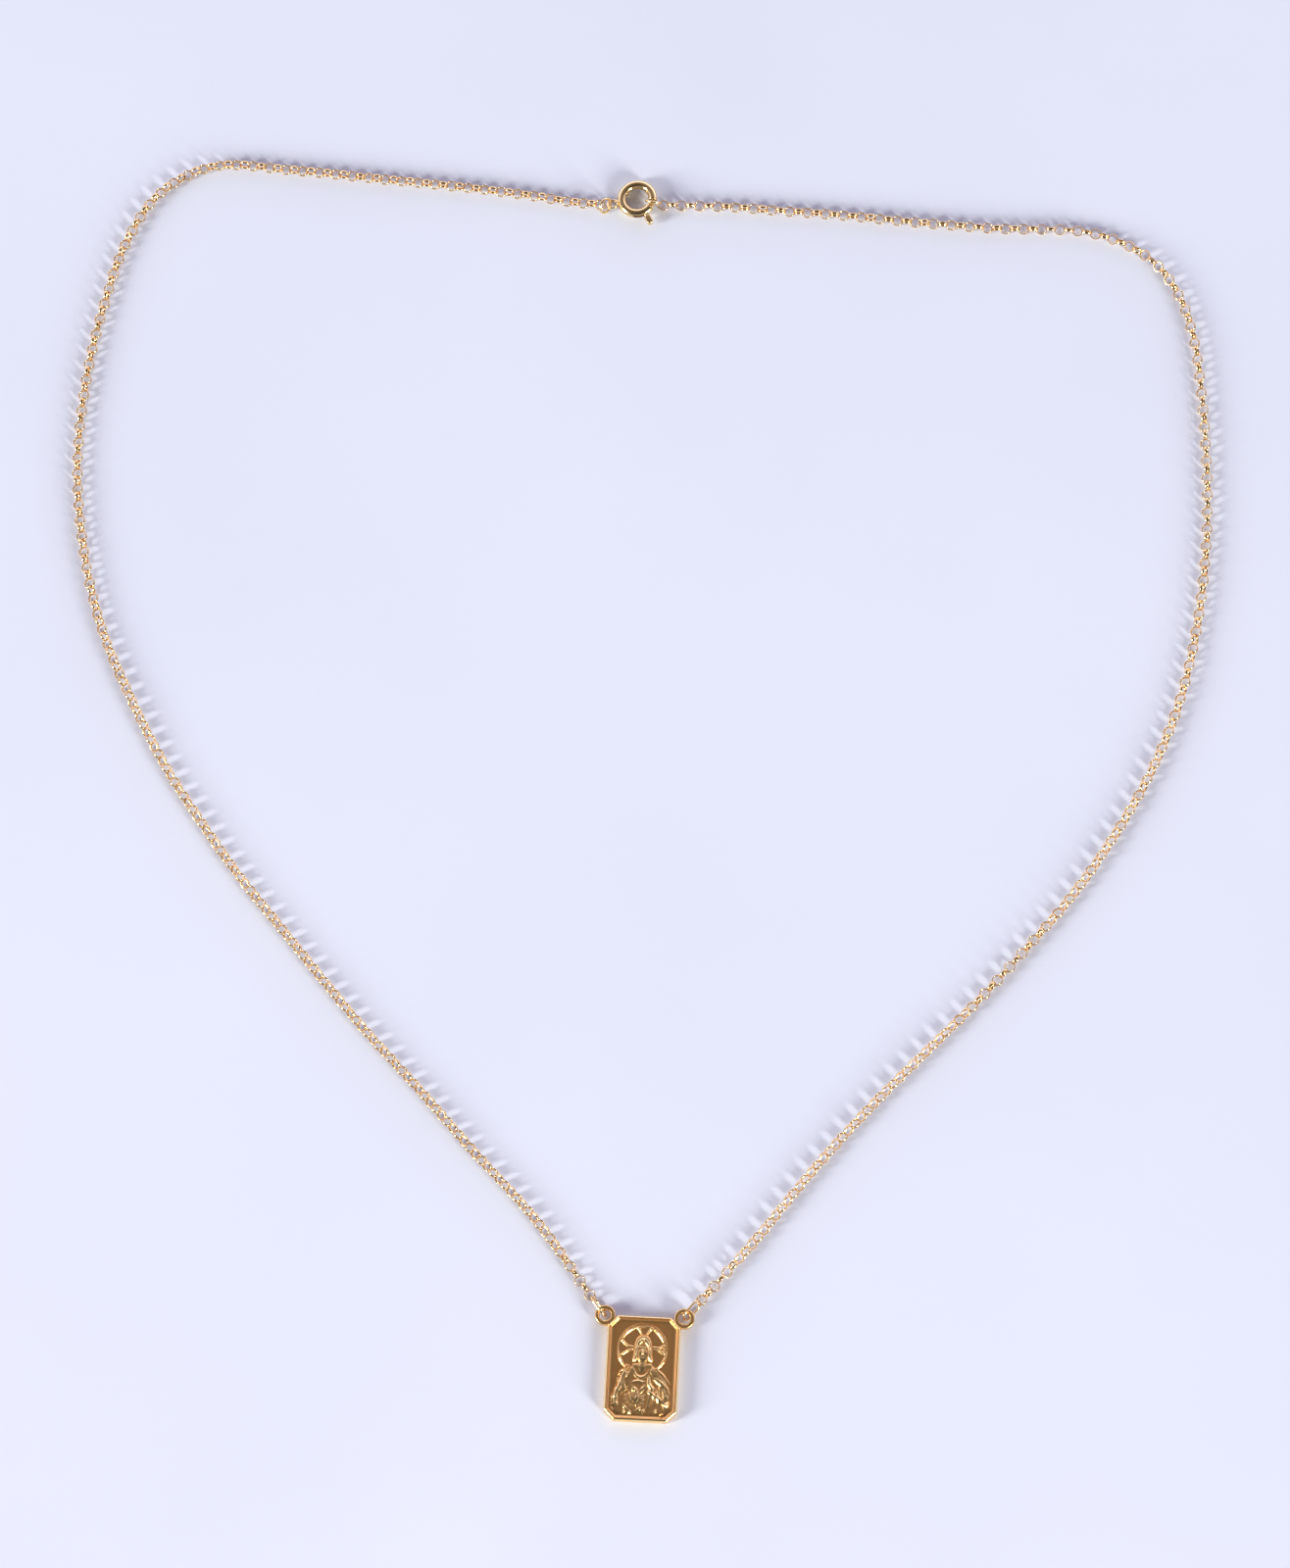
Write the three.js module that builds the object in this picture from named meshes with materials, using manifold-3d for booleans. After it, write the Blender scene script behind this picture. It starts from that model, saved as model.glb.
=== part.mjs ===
// A religious medal on a fine round-link chain with a spring ring clasp, laid open on a flat surface.
// Millimetres, +Z up, +Y from the medal to the clasp, origin at the centre of the whole loop on the surface.
import * as THREE from 'three';
import { mergeVertices } from 'three/addons/utils/BufferGeometryUtils.js';
import Module from 'manifold-3d';

const wasm = await Module();
wasm.setup();

const degrees = Math.PI / 180;

// Medal
const medalWidth = 9.4;
const medalHeight = 13.75;
const medalThickness = 1.3;
const cornerCut = 1.28;
const edgeRound = 0.16;
const rimWidth = 0.34;
const rimSlope = 0.42;
const fieldDepth = 0.42;
const medalPlace = { x: 0.04, y: -81.42, turn: -2.8 };

// Washer ears on the top corners
const earOuter = 2.65;
const earHole = 1.5;
const earThickness = 0.86;
const earRound = 0.14;
const earHeight = 0.78;
const earOut = 1.16;
const earAside = 0.32;
const earNeckWidth = 1.0;

// Oval end links, standing on edge through the ears
const endLinkLength = 3.3;
const endLinkWidth = 2.0;
const endLinkWire = 0.28;
const endLinkLean = 68;
const endLinkReach = 0.06;
const endLinkHeading = { left: 125, right: 49.5 };

// Spring ring clasp, its right side lifted by the jump ring under it
const claspOuter = 5.45;
const claspTube = 1.2;
const claspWall = 0.15;
const claspLean = 6;
const claspPlace = { x: -0.66, y: 82.72 };
const triggerAngle = -63;
const gateStart = -36;
const gateWidth = 28;
const seatDepth = 6;
const seatGap = 2;
const boltClearance = 0.1;
const boltTravel = 32;
const boltTail = 12;
const springRoom = 14;
const bearingClearance = 0.08;
const triggerLength = 1.45;
const triggerShoulder = 0.36;
const triggerWidth = 0.92;
const triggerThickness = 0.84;
const triggerRound = 0.17;
const triggerNeck = 0.44;
const bailOuter = 1.8;
const bailWire = 0.3;
const bailSolder = 0.05;
const bailHeading = 190;
const bailLean = 22;

// Jump rings at the clasp
const leftRing = { outer: 2.3, wire: 0.32, heading: 55, lean: 62, hold: 0.34, chainHeading: 150 };
const rightRing = { outer: 2.3, wire: 0.32, heading: 170, lean: 65, hold: 0.86, chainHeading: -10 };
const rightRingPlace = -14;

// Chain
const chainWidth = 1.35;
const chainGap = 0.3;

// The chosen points of the two runs, from the medal up to the clasp.
const chainRoute = {
  left: [
    [-13.5, -61.9], [-22.0, -52.3], [-29.2, -43.9], [-35.8, -36.5], [-41.7, -29.3], [-47.3, -22.2],
    [-52.9, -15.1], [-58.2, -7.5], [-63.4, 0.8], [-68.0, 9.9], [-72.3, 20.2], [-75.0, 31.4],
    [-76.2, 43.5], [-75.4, 56.0], [-73.3, 67.1], [-70.4, 76.7], [-66.1, 83.7], [-59.0, 87.7],
    [-47.3, 87.1], [-35.5, 85.8], [-24.4, 84.6], [-14.8, 83.3], [-9.6, 82.4],
  ],
  right: [
    [14.1, -65.0], [22.7, -54.4], [30.2, -46.0], [37.3, -38.8], [44.0, -32.0], [50.4, -24.9],
    [56.6, -17.6], [62.3, -9.4], [67.4, -0.5], [71.5, 9.4], [74.2, 20.2], [75.9, 33.0],
    [76.2, 44.2], [75.8, 54.5], [74.9, 62.7], [73.0, 68.8], [69.3, 73.9], [61.9, 77.6],
    [47.5, 78.5], [36.1, 79.5], [26.4, 80.5], [17.5, 81.2], [11.2, 81.7],
  ],
};

// How finely round forms are divided.
const facets = {
  wire: 6, loop: 20, ear: 24, relief: 12, chain: 8, chainSteps: 40,
  clasp: 36, claspTube: 10, bolt: 8, bore: 24, arc: 5,
};
const weldDistance = 1e-5;

const finishes = {
  medal: { color: 0xb98a3c, roughness: 0.32, metalness: 1 },
  chain: { color: 0xd9ab4a, roughness: 0.2, metalness: 1 },
  clasp: { color: 0xcfa248, roughness: 0.18, metalness: 1 },
};

// Solids and meshes
function solidOf(geometry) {
  const bare = geometry.clone();
  bare.deleteAttribute('normal');
  bare.deleteAttribute('uv');
  const merged = mergeVertices(bare, weldDistance);
  return new wasm.Manifold(new wasm.Mesh({
    numProp: 3,
    vertProperties: new Float32Array(merged.attributes.position.array),
    triVerts: new Uint32Array(merged.index.array),
  }));
}

function geometryOf(solid) {
  const mesh = solid.getMesh();
  const geometry = new THREE.BufferGeometry();
  geometry.setAttribute('position', new THREE.BufferAttribute(mesh.vertProperties, 3));
  geometry.setIndex(new THREE.BufferAttribute(mesh.triVerts, 1));
  return geometry;
}

function joined(geometries) {
  return geometries.map(solidOf).reduce((whole, next) => whole.add(next));
}

function meshOf(name, geometry, finish) {
  geometry.computeVertexNormals();
  const mesh = new THREE.Mesh(geometry, new THREE.MeshStandardMaterial(finishes[finish]));
  mesh.name = name;
  return mesh;
}

function polar(radius, angle, z = 0) {
  return new THREE.Vector3(radius * Math.cos(angle * degrees), radius * Math.sin(angle * degrees), z);
}

// A closed loop of round wire in its own XY plane: a circle, or two half circles joined by straight sides.
function wireLoop(length, width, wire, steps) {
  const radius = (width - wire) / 2;
  const straight = (length - width) / 2;
  const half = steps / 2;
  const stations = [];
  for (let i = 0; i < steps; i += 1) {
    const side = i < half ? 1 : -1;
    const share = (i % half) / (straight > 0 ? half - 1 : half);
    const angle = (i < half ? -90 : 90) + share * 180;
    const out = polar(1, angle);
    stations.push({ at: new THREE.Vector3(out.x * radius + side * straight, out.y * radius, 0), out });
  }
  const vertices = [];
  const faces = [];
  for (const { at, out } of stations) {
    for (let j = 0; j < facets.wire; j += 1) {
      const around = (j / facets.wire) * 2 * Math.PI;
      const side = (Math.cos(around) * wire) / 2;
      vertices.push(at.x + out.x * side, at.y + out.y * side, (Math.sin(around) * wire) / 2);
    }
  }
  for (let i = 0; i < steps; i += 1) {
    for (let j = 0; j < facets.wire; j += 1) {
      const next = (j + 1) % facets.wire;
      const here = i * facets.wire;
      const ahead = ((i + 1) % steps) * facets.wire;
      faces.push(here + j, ahead + j, ahead + next, here + j, ahead + next, here + next);
    }
  }
  const geometry = new THREE.BufferGeometry();
  geometry.setAttribute('position', new THREE.Float32BufferAttribute(vertices, 3));
  geometry.setIndex(faces);
  return geometry;
}

// A round bar along a curve, with flats above and below.
function barAlong(curve, radius, sides, steps) {
  const section = new THREE.Shape();
  for (let i = 0; i < sides; i += 1) {
    const angle = ((i + 0.5) / sides) * 2 * Math.PI;
    const place = [radius * Math.cos(angle), radius * Math.sin(angle)];
    if (i === 0) section.moveTo(...place);
    else section.lineTo(...place);
  }
  section.closePath();
  return new THREE.ExtrudeGeometry(section, { steps, extrudePath: curve });
}

class ArcCurve extends THREE.Curve {
  constructor(radius, from, to) {
    super();
    Object.assign(this, { radius, from, to });
  }

  getPoint(share, target = new THREE.Vector3()) {
    return target.copy(polar(this.radius, this.from + (this.to - this.from) * share));
  }
}

// A sector of a flat ring, used as a cutter around the clasp's axis.
function sector(inner, outer, from, to, height) {
  const shape = new THREE.Shape();
  shape.absarc(0, 0, outer, from * degrees, to * degrees, false);
  shape.absarc(0, 0, inner, to * degrees, from * degrees, true);
  shape.closePath();
  const settings = { depth: height, bevelEnabled: false, curveSegments: facets.arc };
  return new THREE.ExtrudeGeometry(shape, settings).translate(0, 0, -height / 2);
}

// Medal
function cutRectangle(width, height, cut) {
  const x = width / 2;
  const y = height / 2;
  return [
    [-x + cut, -y], [x - cut, -y], [x, -y + cut], [x, y - cut],
    [x - cut, y], [-x + cut, y], [-x, y - cut], [-x, -y + cut],
  ];
}

// The medal's outline moved inwards: the cut corners keep their 45 degrees.
function outlineInset(inset) {
  const cut = cornerCut - inset * (2 - Math.SQRT2);
  return cutRectangle(medalWidth - 2 * inset, medalHeight - 2 * inset, cut);
}

// A solid through a stack of outlines with as many corners each, from the lowest up.
function stack(layers) {
  const corners = layers[0].outline.length;
  const vertices = [];
  const faces = [];
  for (const { outline, z } of layers) {
    for (const [x, y] of outline) vertices.push(x, y, z);
  }
  for (let k = 0; k + 1 < layers.length; k += 1) {
    for (let i = 0; i < corners; i += 1) {
      const next = (i + 1) % corners;
      const low = k * corners;
      const high = low + corners;
      faces.push(low + i, low + next, high + next, low + i, high + next, high + i);
    }
  }
  const top = (layers.length - 1) * corners;
  for (let i = 1; i + 1 < corners; i += 1) {
    faces.push(0, i + 1, i, top, top + i, top + i + 1);
  }
  const geometry = new THREE.BufferGeometry();
  geometry.setAttribute('position', new THREE.Float32BufferAttribute(vertices, 3));
  geometry.setIndex(faces);
  return geometry;
}

const fieldLevel = medalThickness - fieldDepth;
const fieldInset = rimWidth + rimSlope;
const fieldWidth = medalWidth - 2 * fieldInset;
const fieldHeight = medalHeight - 2 * fieldInset;

// The relief's forms, each a flattened mound. from and to are shares of half the field's width and height,
// width is a share of half the field's width and rise a share of the field's depth.
const reliefForms = [
  { name: 'hair crown', from: [0.0, 0.50], to: [0.0, 0.56], width: 0.60, rise: 0.50 },
  { name: 'hair left', from: [-0.24, 0.56], to: [-0.40, 0.09], width: 0.20, rise: 0.55 },
  { name: 'hair right', from: [0.24, 0.56], to: [0.40, 0.09], width: 0.20, rise: 0.55 },
  { name: 'head', from: [0.0, 0.24], to: [0.0, 0.50], width: 0.46, rise: 0.85 },
  { name: 'eye left', from: [-0.12, 0.375], to: [-0.07, 0.375], width: 0.05, rise: 0.93 },
  { name: 'eye right', from: [0.07, 0.375], to: [0.12, 0.375], width: 0.05, rise: 0.93 },
  { name: 'nose', from: [0.0, 0.25], to: [0.0, 0.36], width: 0.07, rise: 0.99 },
  { name: 'mouth', from: [-0.05, 0.18], to: [0.05, 0.18], width: 0.04, rise: 0.93 },
  { name: 'beard', from: [0.0, 0.06], to: [0.0, 0.15], width: 0.30, rise: 0.82 },
  { name: 'neck', from: [0.0, -0.06], to: [0.0, 0.08], width: 0.30, rise: 0.55 },
  { name: 'shoulders', from: [-0.56, -0.33], to: [0.66, -0.33], width: 0.80, rise: 0.50 },
  { name: 'body', from: [-0.08, -1.30], to: [-0.02, -0.10], width: 1.50, rise: 0.62 },
  { name: 'raised forearm', from: [-0.83, -0.60], to: [-0.66, -0.14], width: 0.24, rise: 0.72 },
  { name: 'raised palm', from: [-0.66, -0.18], to: [-0.56, -0.12], width: 0.20, rise: 0.80 },
  { name: 'first finger', from: [-0.63, -0.12], to: [-0.43, -0.01], width: 0.09, rise: 0.85 },
  { name: 'second finger', from: [-0.60, -0.18], to: [-0.40, -0.10], width: 0.09, rise: 0.85 },
  { name: 'mantle edge', from: [0.40, 0.05], to: [0.92, -0.34], width: 0.07, rise: 0.70 },
  { name: 'mantle fold', from: [0.33, -0.20], to: [0.84, -0.39], width: 0.09, rise: 0.80 },
  { name: 'collar left', from: [-0.36, -0.30], to: [-0.13, -0.19], width: 0.07, rise: 0.85 },
  { name: 'collar right', from: [-0.17, -0.19], to: [0.19, -0.26], width: 0.07, rise: 0.85 },
  { name: 'robe edge left', from: [-0.33, -0.30], to: [-0.13, -0.51], width: 0.10, rise: 0.92 },
  { name: 'robe edge right', from: [0.15, -0.30], to: [-0.07, -0.49], width: 0.10, rise: 0.92 },
  { name: 'sleeve hem', from: [-0.66, -0.52], to: [-0.37, -0.34], width: 0.09, rise: 0.85 },
  { name: 'heart left', from: [-0.31, -0.62], to: [-0.24, -0.69], width: 0.13, rise: 1.0 },
  { name: 'heart right', from: [-0.19, -0.62], to: [-0.26, -0.69], width: 0.13, rise: 1.0 },
  { name: 'pointing hand', from: [0.24, -0.28], to: [0.34, -0.44], width: 0.12, rise: 0.90 },
  { name: 'sleeve right', from: [0.36, -0.46], to: [0.50, -0.53], width: 0.14, rise: 0.85 },
  { name: 'fold 1', from: [0.24, -0.45], to: [0.20, -0.88], width: 0.07, rise: 0.85 },
  { name: 'fold 2', from: [0.41, -0.54], to: [0.38, -0.93], width: 0.07, rise: 0.82 },
  { name: 'fold 3', from: [0.56, -0.46], to: [0.58, -0.72], width: 0.07, rise: 0.80 },
  { name: 'fold 4', from: [0.72, -0.42], to: [0.77, -0.65], width: 0.08, rise: 0.78 },
  { name: 'mantle end', from: [0.78, -0.76], to: [0.86, -0.69], width: 0.15, rise: 0.82 },
  { name: 'left fold 1', from: [-0.97, -0.58], to: [-0.88, -0.76], width: 0.09, rise: 0.75 },
  { name: 'left fold 2', from: [-0.83, -0.63], to: [-0.73, -0.80], width: 0.09, rise: 0.78 },
  { name: 'left fold 3', from: [-0.58, -0.76], to: [-0.41, -0.89], width: 0.10, rise: 0.82 },
  { name: 'waist fold', from: [-0.20, -0.90], to: [0.16, -0.82], width: 0.07, rise: 0.82 },
  { name: 'hem left', from: [-0.74, -0.93], to: [-0.60, -0.97], width: 0.07, rise: 0.70 },
  { name: 'hem right', from: [0.60, -0.95], to: [0.70, -0.92], width: 0.08, rise: 0.70 },
];

// The halo's ring and the flared arms of its cross; lengths are shares of half the field's width.
const halo = { y: 0.48, radius: 0.745, width: 0.085, rise: 0.42, rim: 0.05 };
const haloArms = [
  { heading: 90, inner: 0.36, outer: 0.70, spreadIn: 11, spreadOut: 20 },
  { heading: 176, inner: 0.42, outer: 0.70, spreadIn: 9, spreadOut: 20 },
  { heading: 4, inner: 0.42, outer: 0.70, spreadIn: 9, spreadOut: 20 },
];
const heartRays = { x: -0.245, y: -0.66, count: 9, inner: 0.13, outer: 0.33, width: 0.035, rise: 0.85 };

// A flattened mound on the field between two places given in millimetres.
function mound(from, to, width, rise) {
  const along = new THREE.Vector2(to[0] - from[0], to[1] - from[1]);
  const geometry = new THREE.SphereGeometry(1, facets.relief, facets.relief / 2);
  geometry.rotateX(Math.PI / 2);
  geometry.scale((along.length() + width) / 2, width / 2, rise);
  geometry.rotateZ(along.angle());
  return geometry.translate((from[0] + to[0]) / 2, (from[1] + to[1]) / 2, fieldLevel);
}

function reliefGeometries() {
  const x = fieldWidth / 2;
  const y = fieldHeight / 2;
  const centre = [0, halo.y * y];
  const forms = reliefForms.map(({ from, to, width, rise }) => (
    mound([from[0] * x, from[1] * y], [to[0] * x, to[1] * y], width * x, rise * fieldDepth)
  ));
  const ring = new THREE.TorusGeometry(halo.radius * x, (halo.width * x) / 2, facets.wire, 2 * facets.ear);
  ring.translate(centre[0], centre[1], fieldLevel);
  forms.push(ring);
  for (const { heading, inner, outer, spreadIn, spreadOut } of haloArms) {
    for (const side of [-1, 1]) {
      const start = polar(inner * x, heading + side * spreadIn);
      const end = polar(outer * x, heading + side * spreadOut);
      forms.push(mound(
        [centre[0] + start.x, centre[1] + start.y],
        [centre[0] + end.x, centre[1] + end.y],
        halo.rim * x,
        halo.rise * fieldDepth,
      ));
    }
  }
  for (let i = 0; i < heartRays.count; i += 1) {
    const heading = (i * 360) / heartRays.count + 90;
    const start = polar(heartRays.inner * x, heading);
    const end = polar(heartRays.outer * x, heading);
    forms.push(mound(
      [heartRays.x * x + start.x, heartRays.y * y + start.y],
      [heartRays.x * x + end.x, heartRays.y * y + end.y],
      heartRays.width * x,
      heartRays.rise * fieldDepth,
    ));
  }
  return forms;
}

// The ear stands out from the middle of the cut corner and a little to the medal's side.
function earCentre(side) {
  const x = medalWidth / 2 - cornerCut / 2 + (earOut + earAside) / Math.SQRT2;
  const y = medalHeight / 2 - cornerCut / 2 + (earOut - earAside) / Math.SQRT2;
  return new THREE.Vector3(side * x, y, earHeight);
}

function earGeometry(side) {
  const inner = earHole / 2;
  const outer = earOuter / 2;
  const half = earThickness / 2;
  const profile = [
    [inner, -half + earRound], [inner + earRound, -half],
    [outer - earRound, -half], [outer, -half + earRound],
    [outer, half - earRound], [outer - earRound, half],
    [inner + earRound, half], [inner, half - earRound],
    [inner, -half + earRound],
  ].map(([x, y]) => new THREE.Vector2(x, y));
  const centre = earCentre(side);
  const ear = new THREE.LatheGeometry(profile, facets.ear).rotateX(Math.PI / 2);
  return ear.translate(centre.x, centre.y, centre.z);
}

function earNeckGeometry(side) {
  const ring = (earOuter - earHole) / 4;
  const start = earOuter / 2 - ring;
  const length = earOut + ring - start;
  const middle = start + length / 2;
  const centre = earCentre(side);
  const neck = new THREE.BoxGeometry(length, earNeckWidth, earThickness - 2 * earRound);
  neck.rotateZ(side > 0 ? Math.PI / 4 : (3 * Math.PI) / 4);
  return neck.translate(
    centre.x - (side * middle) / Math.SQRT2,
    centre.y - middle / Math.SQRT2,
    centre.z,
  );
}

function medalGeometry() {
  const plate = stack([
    { outline: outlineInset(edgeRound), z: 0 },
    { outline: outlineInset(0), z: edgeRound },
    { outline: outlineInset(0), z: medalThickness - edgeRound },
    { outline: outlineInset(edgeRound), z: medalThickness },
  ]);
  const pocket = stack([
    { outline: outlineInset(fieldInset), z: fieldLevel },
    { outline: outlineInset(rimWidth), z: medalThickness },
    { outline: outlineInset(rimWidth), z: medalThickness + edgeRound },
  ]);
  const reliefRoom = stack([
    { outline: outlineInset(fieldInset), z: fieldLevel / 2 },
    { outline: outlineInset(fieldInset), z: medalThickness },
  ]);
  const relief = joined(reliefGeometries()).intersect(solidOf(reliefRoom));
  const ears = joined([-1, 1].flatMap((side) => [earGeometry(side), earNeckGeometry(side)]));
  return geometryOf(solidOf(plate).subtract(solidOf(pocket)).add(relief).add(ears));
}

function placeMedal(object) {
  object.position.set(medalPlace.x, medalPlace.y, 0);
  object.rotation.z = medalPlace.turn * degrees;
  object.updateMatrixWorld(true);
  return object;
}

// End links
const endLinkStraight = endLinkLength - endLinkWire;

function earPlace(side) {
  const medalFrame = placeMedal(new THREE.Group());
  return medalFrame.localToWorld(earCentre(side));
}

function placeEndLink(mesh, side, heading) {
  const ear = earPlace(side);
  const lean = endLinkLean * degrees;
  const out = polar(endLinkStraight / 2 - endLinkReach, heading);
  const height = ((endLinkWidth - endLinkWire) / 2) * Math.sin(lean) + endLinkWire / 2;
  mesh.rotation.set(lean, 0, heading * degrees, 'ZYX');
  mesh.position.set(ear.x + out.x, ear.y + out.y, height);
  return mesh;
}

// Clasp, made flat around its own axis and then leaned
const claspRadius = (claspOuter - claspTube) / 2;
const boreRadius = claspTube / 2 - claspWall;
const boltRadius = boreRadius - boltClearance;
const gateEnd = gateStart + gateWidth;
const boltTip = gateEnd + seatDepth - seatGap;
const boltBack = triggerAngle - boltTail;

function claspFrame() {
  const lean = claspLean * degrees;
  const group = new THREE.Group();
  group.position.set(claspPlace.x, claspPlace.y, claspRadius * Math.sin(lean) + claspTube / 2);
  group.rotation.y = -lean;
  group.updateMatrixWorld(true);
  return group;
}

function bailCentre() {
  const radius = (bailOuter - bailWire) / 2;
  return polar(claspOuter / 2 + radius - bailSolder, bailHeading);
}

function bailGeometry() {
  const bail = wireLoop(bailOuter, bailOuter, bailWire, facets.loop);
  const centre = bailCentre();
  bail.rotateX(bailLean * degrees);
  bail.rotateZ(bailHeading * degrees);
  return bail.translate(centre.x, centre.y, centre.z);
}

function neckHalfAngle(clearance) {
  return Math.atan((triggerNeck / 2 + clearance) / claspRadius) / degrees;
}

function claspRingGeometry() {
  const ring = solidOf(new THREE.TorusGeometry(claspRadius, claspTube / 2, facets.claspTube, facets.clasp));
  const boreBack = boltBack - boltTravel - springRoom;
  const boreArc = new ArcCurve(claspRadius, boreBack, gateEnd + seatDepth);
  const bore = barAlong(boreArc, boreRadius, facets.bolt, facets.bore);
  const gate = sector(claspRadius - claspTube, claspOuter, gateStart, gateEnd, 2 * claspTube);
  const slotFrom = triggerAngle - boltTravel - neckHalfAngle(bearingClearance);
  const slotTo = triggerAngle + neckHalfAngle(bearingClearance);
  const slot = sector(claspRadius, claspOuter, slotFrom, slotTo, triggerNeck + 2 * bearingClearance);
  return geometryOf(ring
    .subtract(solidOf(bore))
    .subtract(solidOf(gate))
    .subtract(solidOf(slot))
    .add(solidOf(bailGeometry())));
}

// The trigger's blade in plan: it widens from the neck, and its end is rounded.
function triggerGeometry() {
  const start = claspOuter / 2 + boltClearance;
  const end = start + triggerLength;
  const half = triggerWidth / 2;
  const shoulder = triggerNeck / 2 + triggerRound / 2;
  const blade = new THREE.Shape();
  blade.moveTo(start, -shoulder);
  blade.lineTo(start + triggerShoulder, -half);
  blade.lineTo(end - half, -half);
  blade.absarc(end - half, 0, half, -Math.PI / 2, Math.PI / 2, false);
  blade.lineTo(start + triggerShoulder, half);
  blade.lineTo(start, shoulder);
  blade.closePath();
  const geometry = new THREE.ExtrudeGeometry(blade, {
    depth: triggerThickness - 2 * triggerRound,
    bevelThickness: triggerRound,
    bevelSize: triggerRound,
    bevelOffset: -triggerRound,
    bevelSegments: 1,
    curveSegments: facets.arc,
  });
  return geometry.translate(0, 0, triggerRound - triggerThickness / 2);
}

function claspLeverGeometry() {
  const boltArc = new ArcCurve(claspRadius, boltBack, boltTip);
  const bolt = solidOf(barAlong(boltArc, boltRadius, facets.bolt, facets.bore / 2));
  const neckLength = claspTube / 2 + boltClearance + triggerShoulder;
  const neck = new THREE.BoxGeometry(neckLength, triggerNeck, triggerNeck);
  neck.translate(claspRadius + neckLength / 2, 0, 0);
  const trigger = joined([neck, triggerGeometry()]).rotate([0, 0, triggerAngle]);
  return geometryOf(bolt.add(trigger));
}

// A round jump ring that leans on the surface, with its wire through the given place.
// The heading points from the ring's centre towards what it holds.
function placeRing(mesh, ring, through) {
  const radius = (ring.outer - ring.wire) / 2;
  const lean = ring.lean * degrees;
  const rise = radius * Math.sin(lean);
  const height = rise + ring.wire / 2;
  const turn = Math.asin((through.z - height) / rise);
  mesh.rotation.set(lean, 0, ring.heading * degrees, 'ZYX');
  const hold = new THREE.Vector3(radius * Math.cos(turn), radius * Math.sin(turn), 0);
  hold.applyEuler(mesh.rotation);
  mesh.position.set(through.x - hold.x, through.y - hold.y, height);
  return mesh;
}

function ringMesh(name, ring) {
  return meshOf(name, wireLoop(ring.outer, ring.outer, ring.wire, facets.loop), 'clasp');
}

// How far a leaning ring reaches from its centre towards its chain run, seen from above.
function chainSide(ring) {
  const turn = (ring.chainHeading - ring.heading) * degrees;
  return ring.outer / 2 / Math.hypot(Math.cos(turn), Math.sin(turn) / Math.cos(ring.lean * degrees));
}

// The place beside a ring or link where the chain run begins, with its gap.
function chainEnd(mesh, reach, heading) {
  const out = polar(reach + chainGap, heading);
  return [mesh.position.x + out.x, mesh.position.y + out.y];
}

function chainMesh(name, route) {
  const radius = chainWidth / 2;
  const height = radius * Math.cos(Math.PI / facets.chain);
  const curve = new THREE.CatmullRomCurve3(route.map(([x, y]) => new THREE.Vector3(x, y, height)));
  return meshOf(name, barAlong(curve, radius, facets.chain, facets.chainSteps), 'chain');
}

const necklace = new THREE.Group();

const medal = placeMedal(meshOf('medal', medalGeometry(), 'medal'));
necklace.add(medal);

const endLinks = {};
for (const [name, side] of [['left', -1], ['right', 1]]) {
  const wire = wireLoop(endLinkLength, endLinkWidth, endLinkWire, facets.loop);
  endLinks[name] = placeEndLink(meshOf(`end_link_${name}`, wire, 'chain'), side, endLinkHeading[name]);
  necklace.add(endLinks[name]);
}

const clasp = claspFrame();
clasp.add(meshOf('clasp_ring', claspRingGeometry(), 'clasp'));
clasp.add(meshOf('clasp_lever', claspLeverGeometry(), 'clasp'));
necklace.add(clasp);

const bailHold = clasp.localToWorld(bailCentre());
bailHold.add(polar(leftRing.hold, bailHeading));
const jumpLeft = placeRing(ringMesh('jump_ring_left', leftRing), leftRing, bailHold);
const tubeHold = clasp.localToWorld(polar(claspRadius, rightRingPlace));
tubeHold.add(polar(rightRing.hold, rightRing.heading));
const jumpRight = placeRing(ringMesh('jump_ring_right', rightRing), rightRing, tubeHold);
necklace.add(jumpLeft, jumpRight);

necklace.add(chainMesh('chain_left', [
  chainEnd(endLinks.left, endLinkLength / 2, endLinkHeading.left),
  ...chainRoute.left,
  chainEnd(jumpLeft, chainSide(leftRing), leftRing.chainHeading),
]));
necklace.add(chainMesh('chain_right', [
  chainEnd(endLinks.right, endLinkLength / 2, endLinkHeading.right),
  ...chainRoute.right,
  chainEnd(jumpRight, chainSide(rightRing), rightRing.chainHeading),
]));

export default necklace;
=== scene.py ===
# A religious medal on its round-link chain with a spring ring clasp, lying open on pale paper.
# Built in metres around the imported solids. Rings, medal and clasp give their sizes in millimetres and degrees.
import math
import bmesh
import bpy
import numpy as np
from mathutils import Matrix, Vector


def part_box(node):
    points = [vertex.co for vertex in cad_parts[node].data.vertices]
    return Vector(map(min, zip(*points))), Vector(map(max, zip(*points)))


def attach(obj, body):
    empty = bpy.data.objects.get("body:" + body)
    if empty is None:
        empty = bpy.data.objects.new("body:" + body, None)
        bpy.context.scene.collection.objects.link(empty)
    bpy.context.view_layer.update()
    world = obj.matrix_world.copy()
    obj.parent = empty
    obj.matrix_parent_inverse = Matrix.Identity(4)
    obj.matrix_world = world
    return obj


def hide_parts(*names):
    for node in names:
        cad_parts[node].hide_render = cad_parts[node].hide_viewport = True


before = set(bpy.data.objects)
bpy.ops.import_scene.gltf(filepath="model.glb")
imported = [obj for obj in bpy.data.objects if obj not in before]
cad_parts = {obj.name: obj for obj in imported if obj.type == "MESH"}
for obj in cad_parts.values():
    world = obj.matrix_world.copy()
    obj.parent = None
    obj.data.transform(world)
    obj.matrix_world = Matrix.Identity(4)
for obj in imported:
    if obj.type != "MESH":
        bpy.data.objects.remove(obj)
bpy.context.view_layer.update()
mm = 0.001
print("stage: frame loaded")

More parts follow.
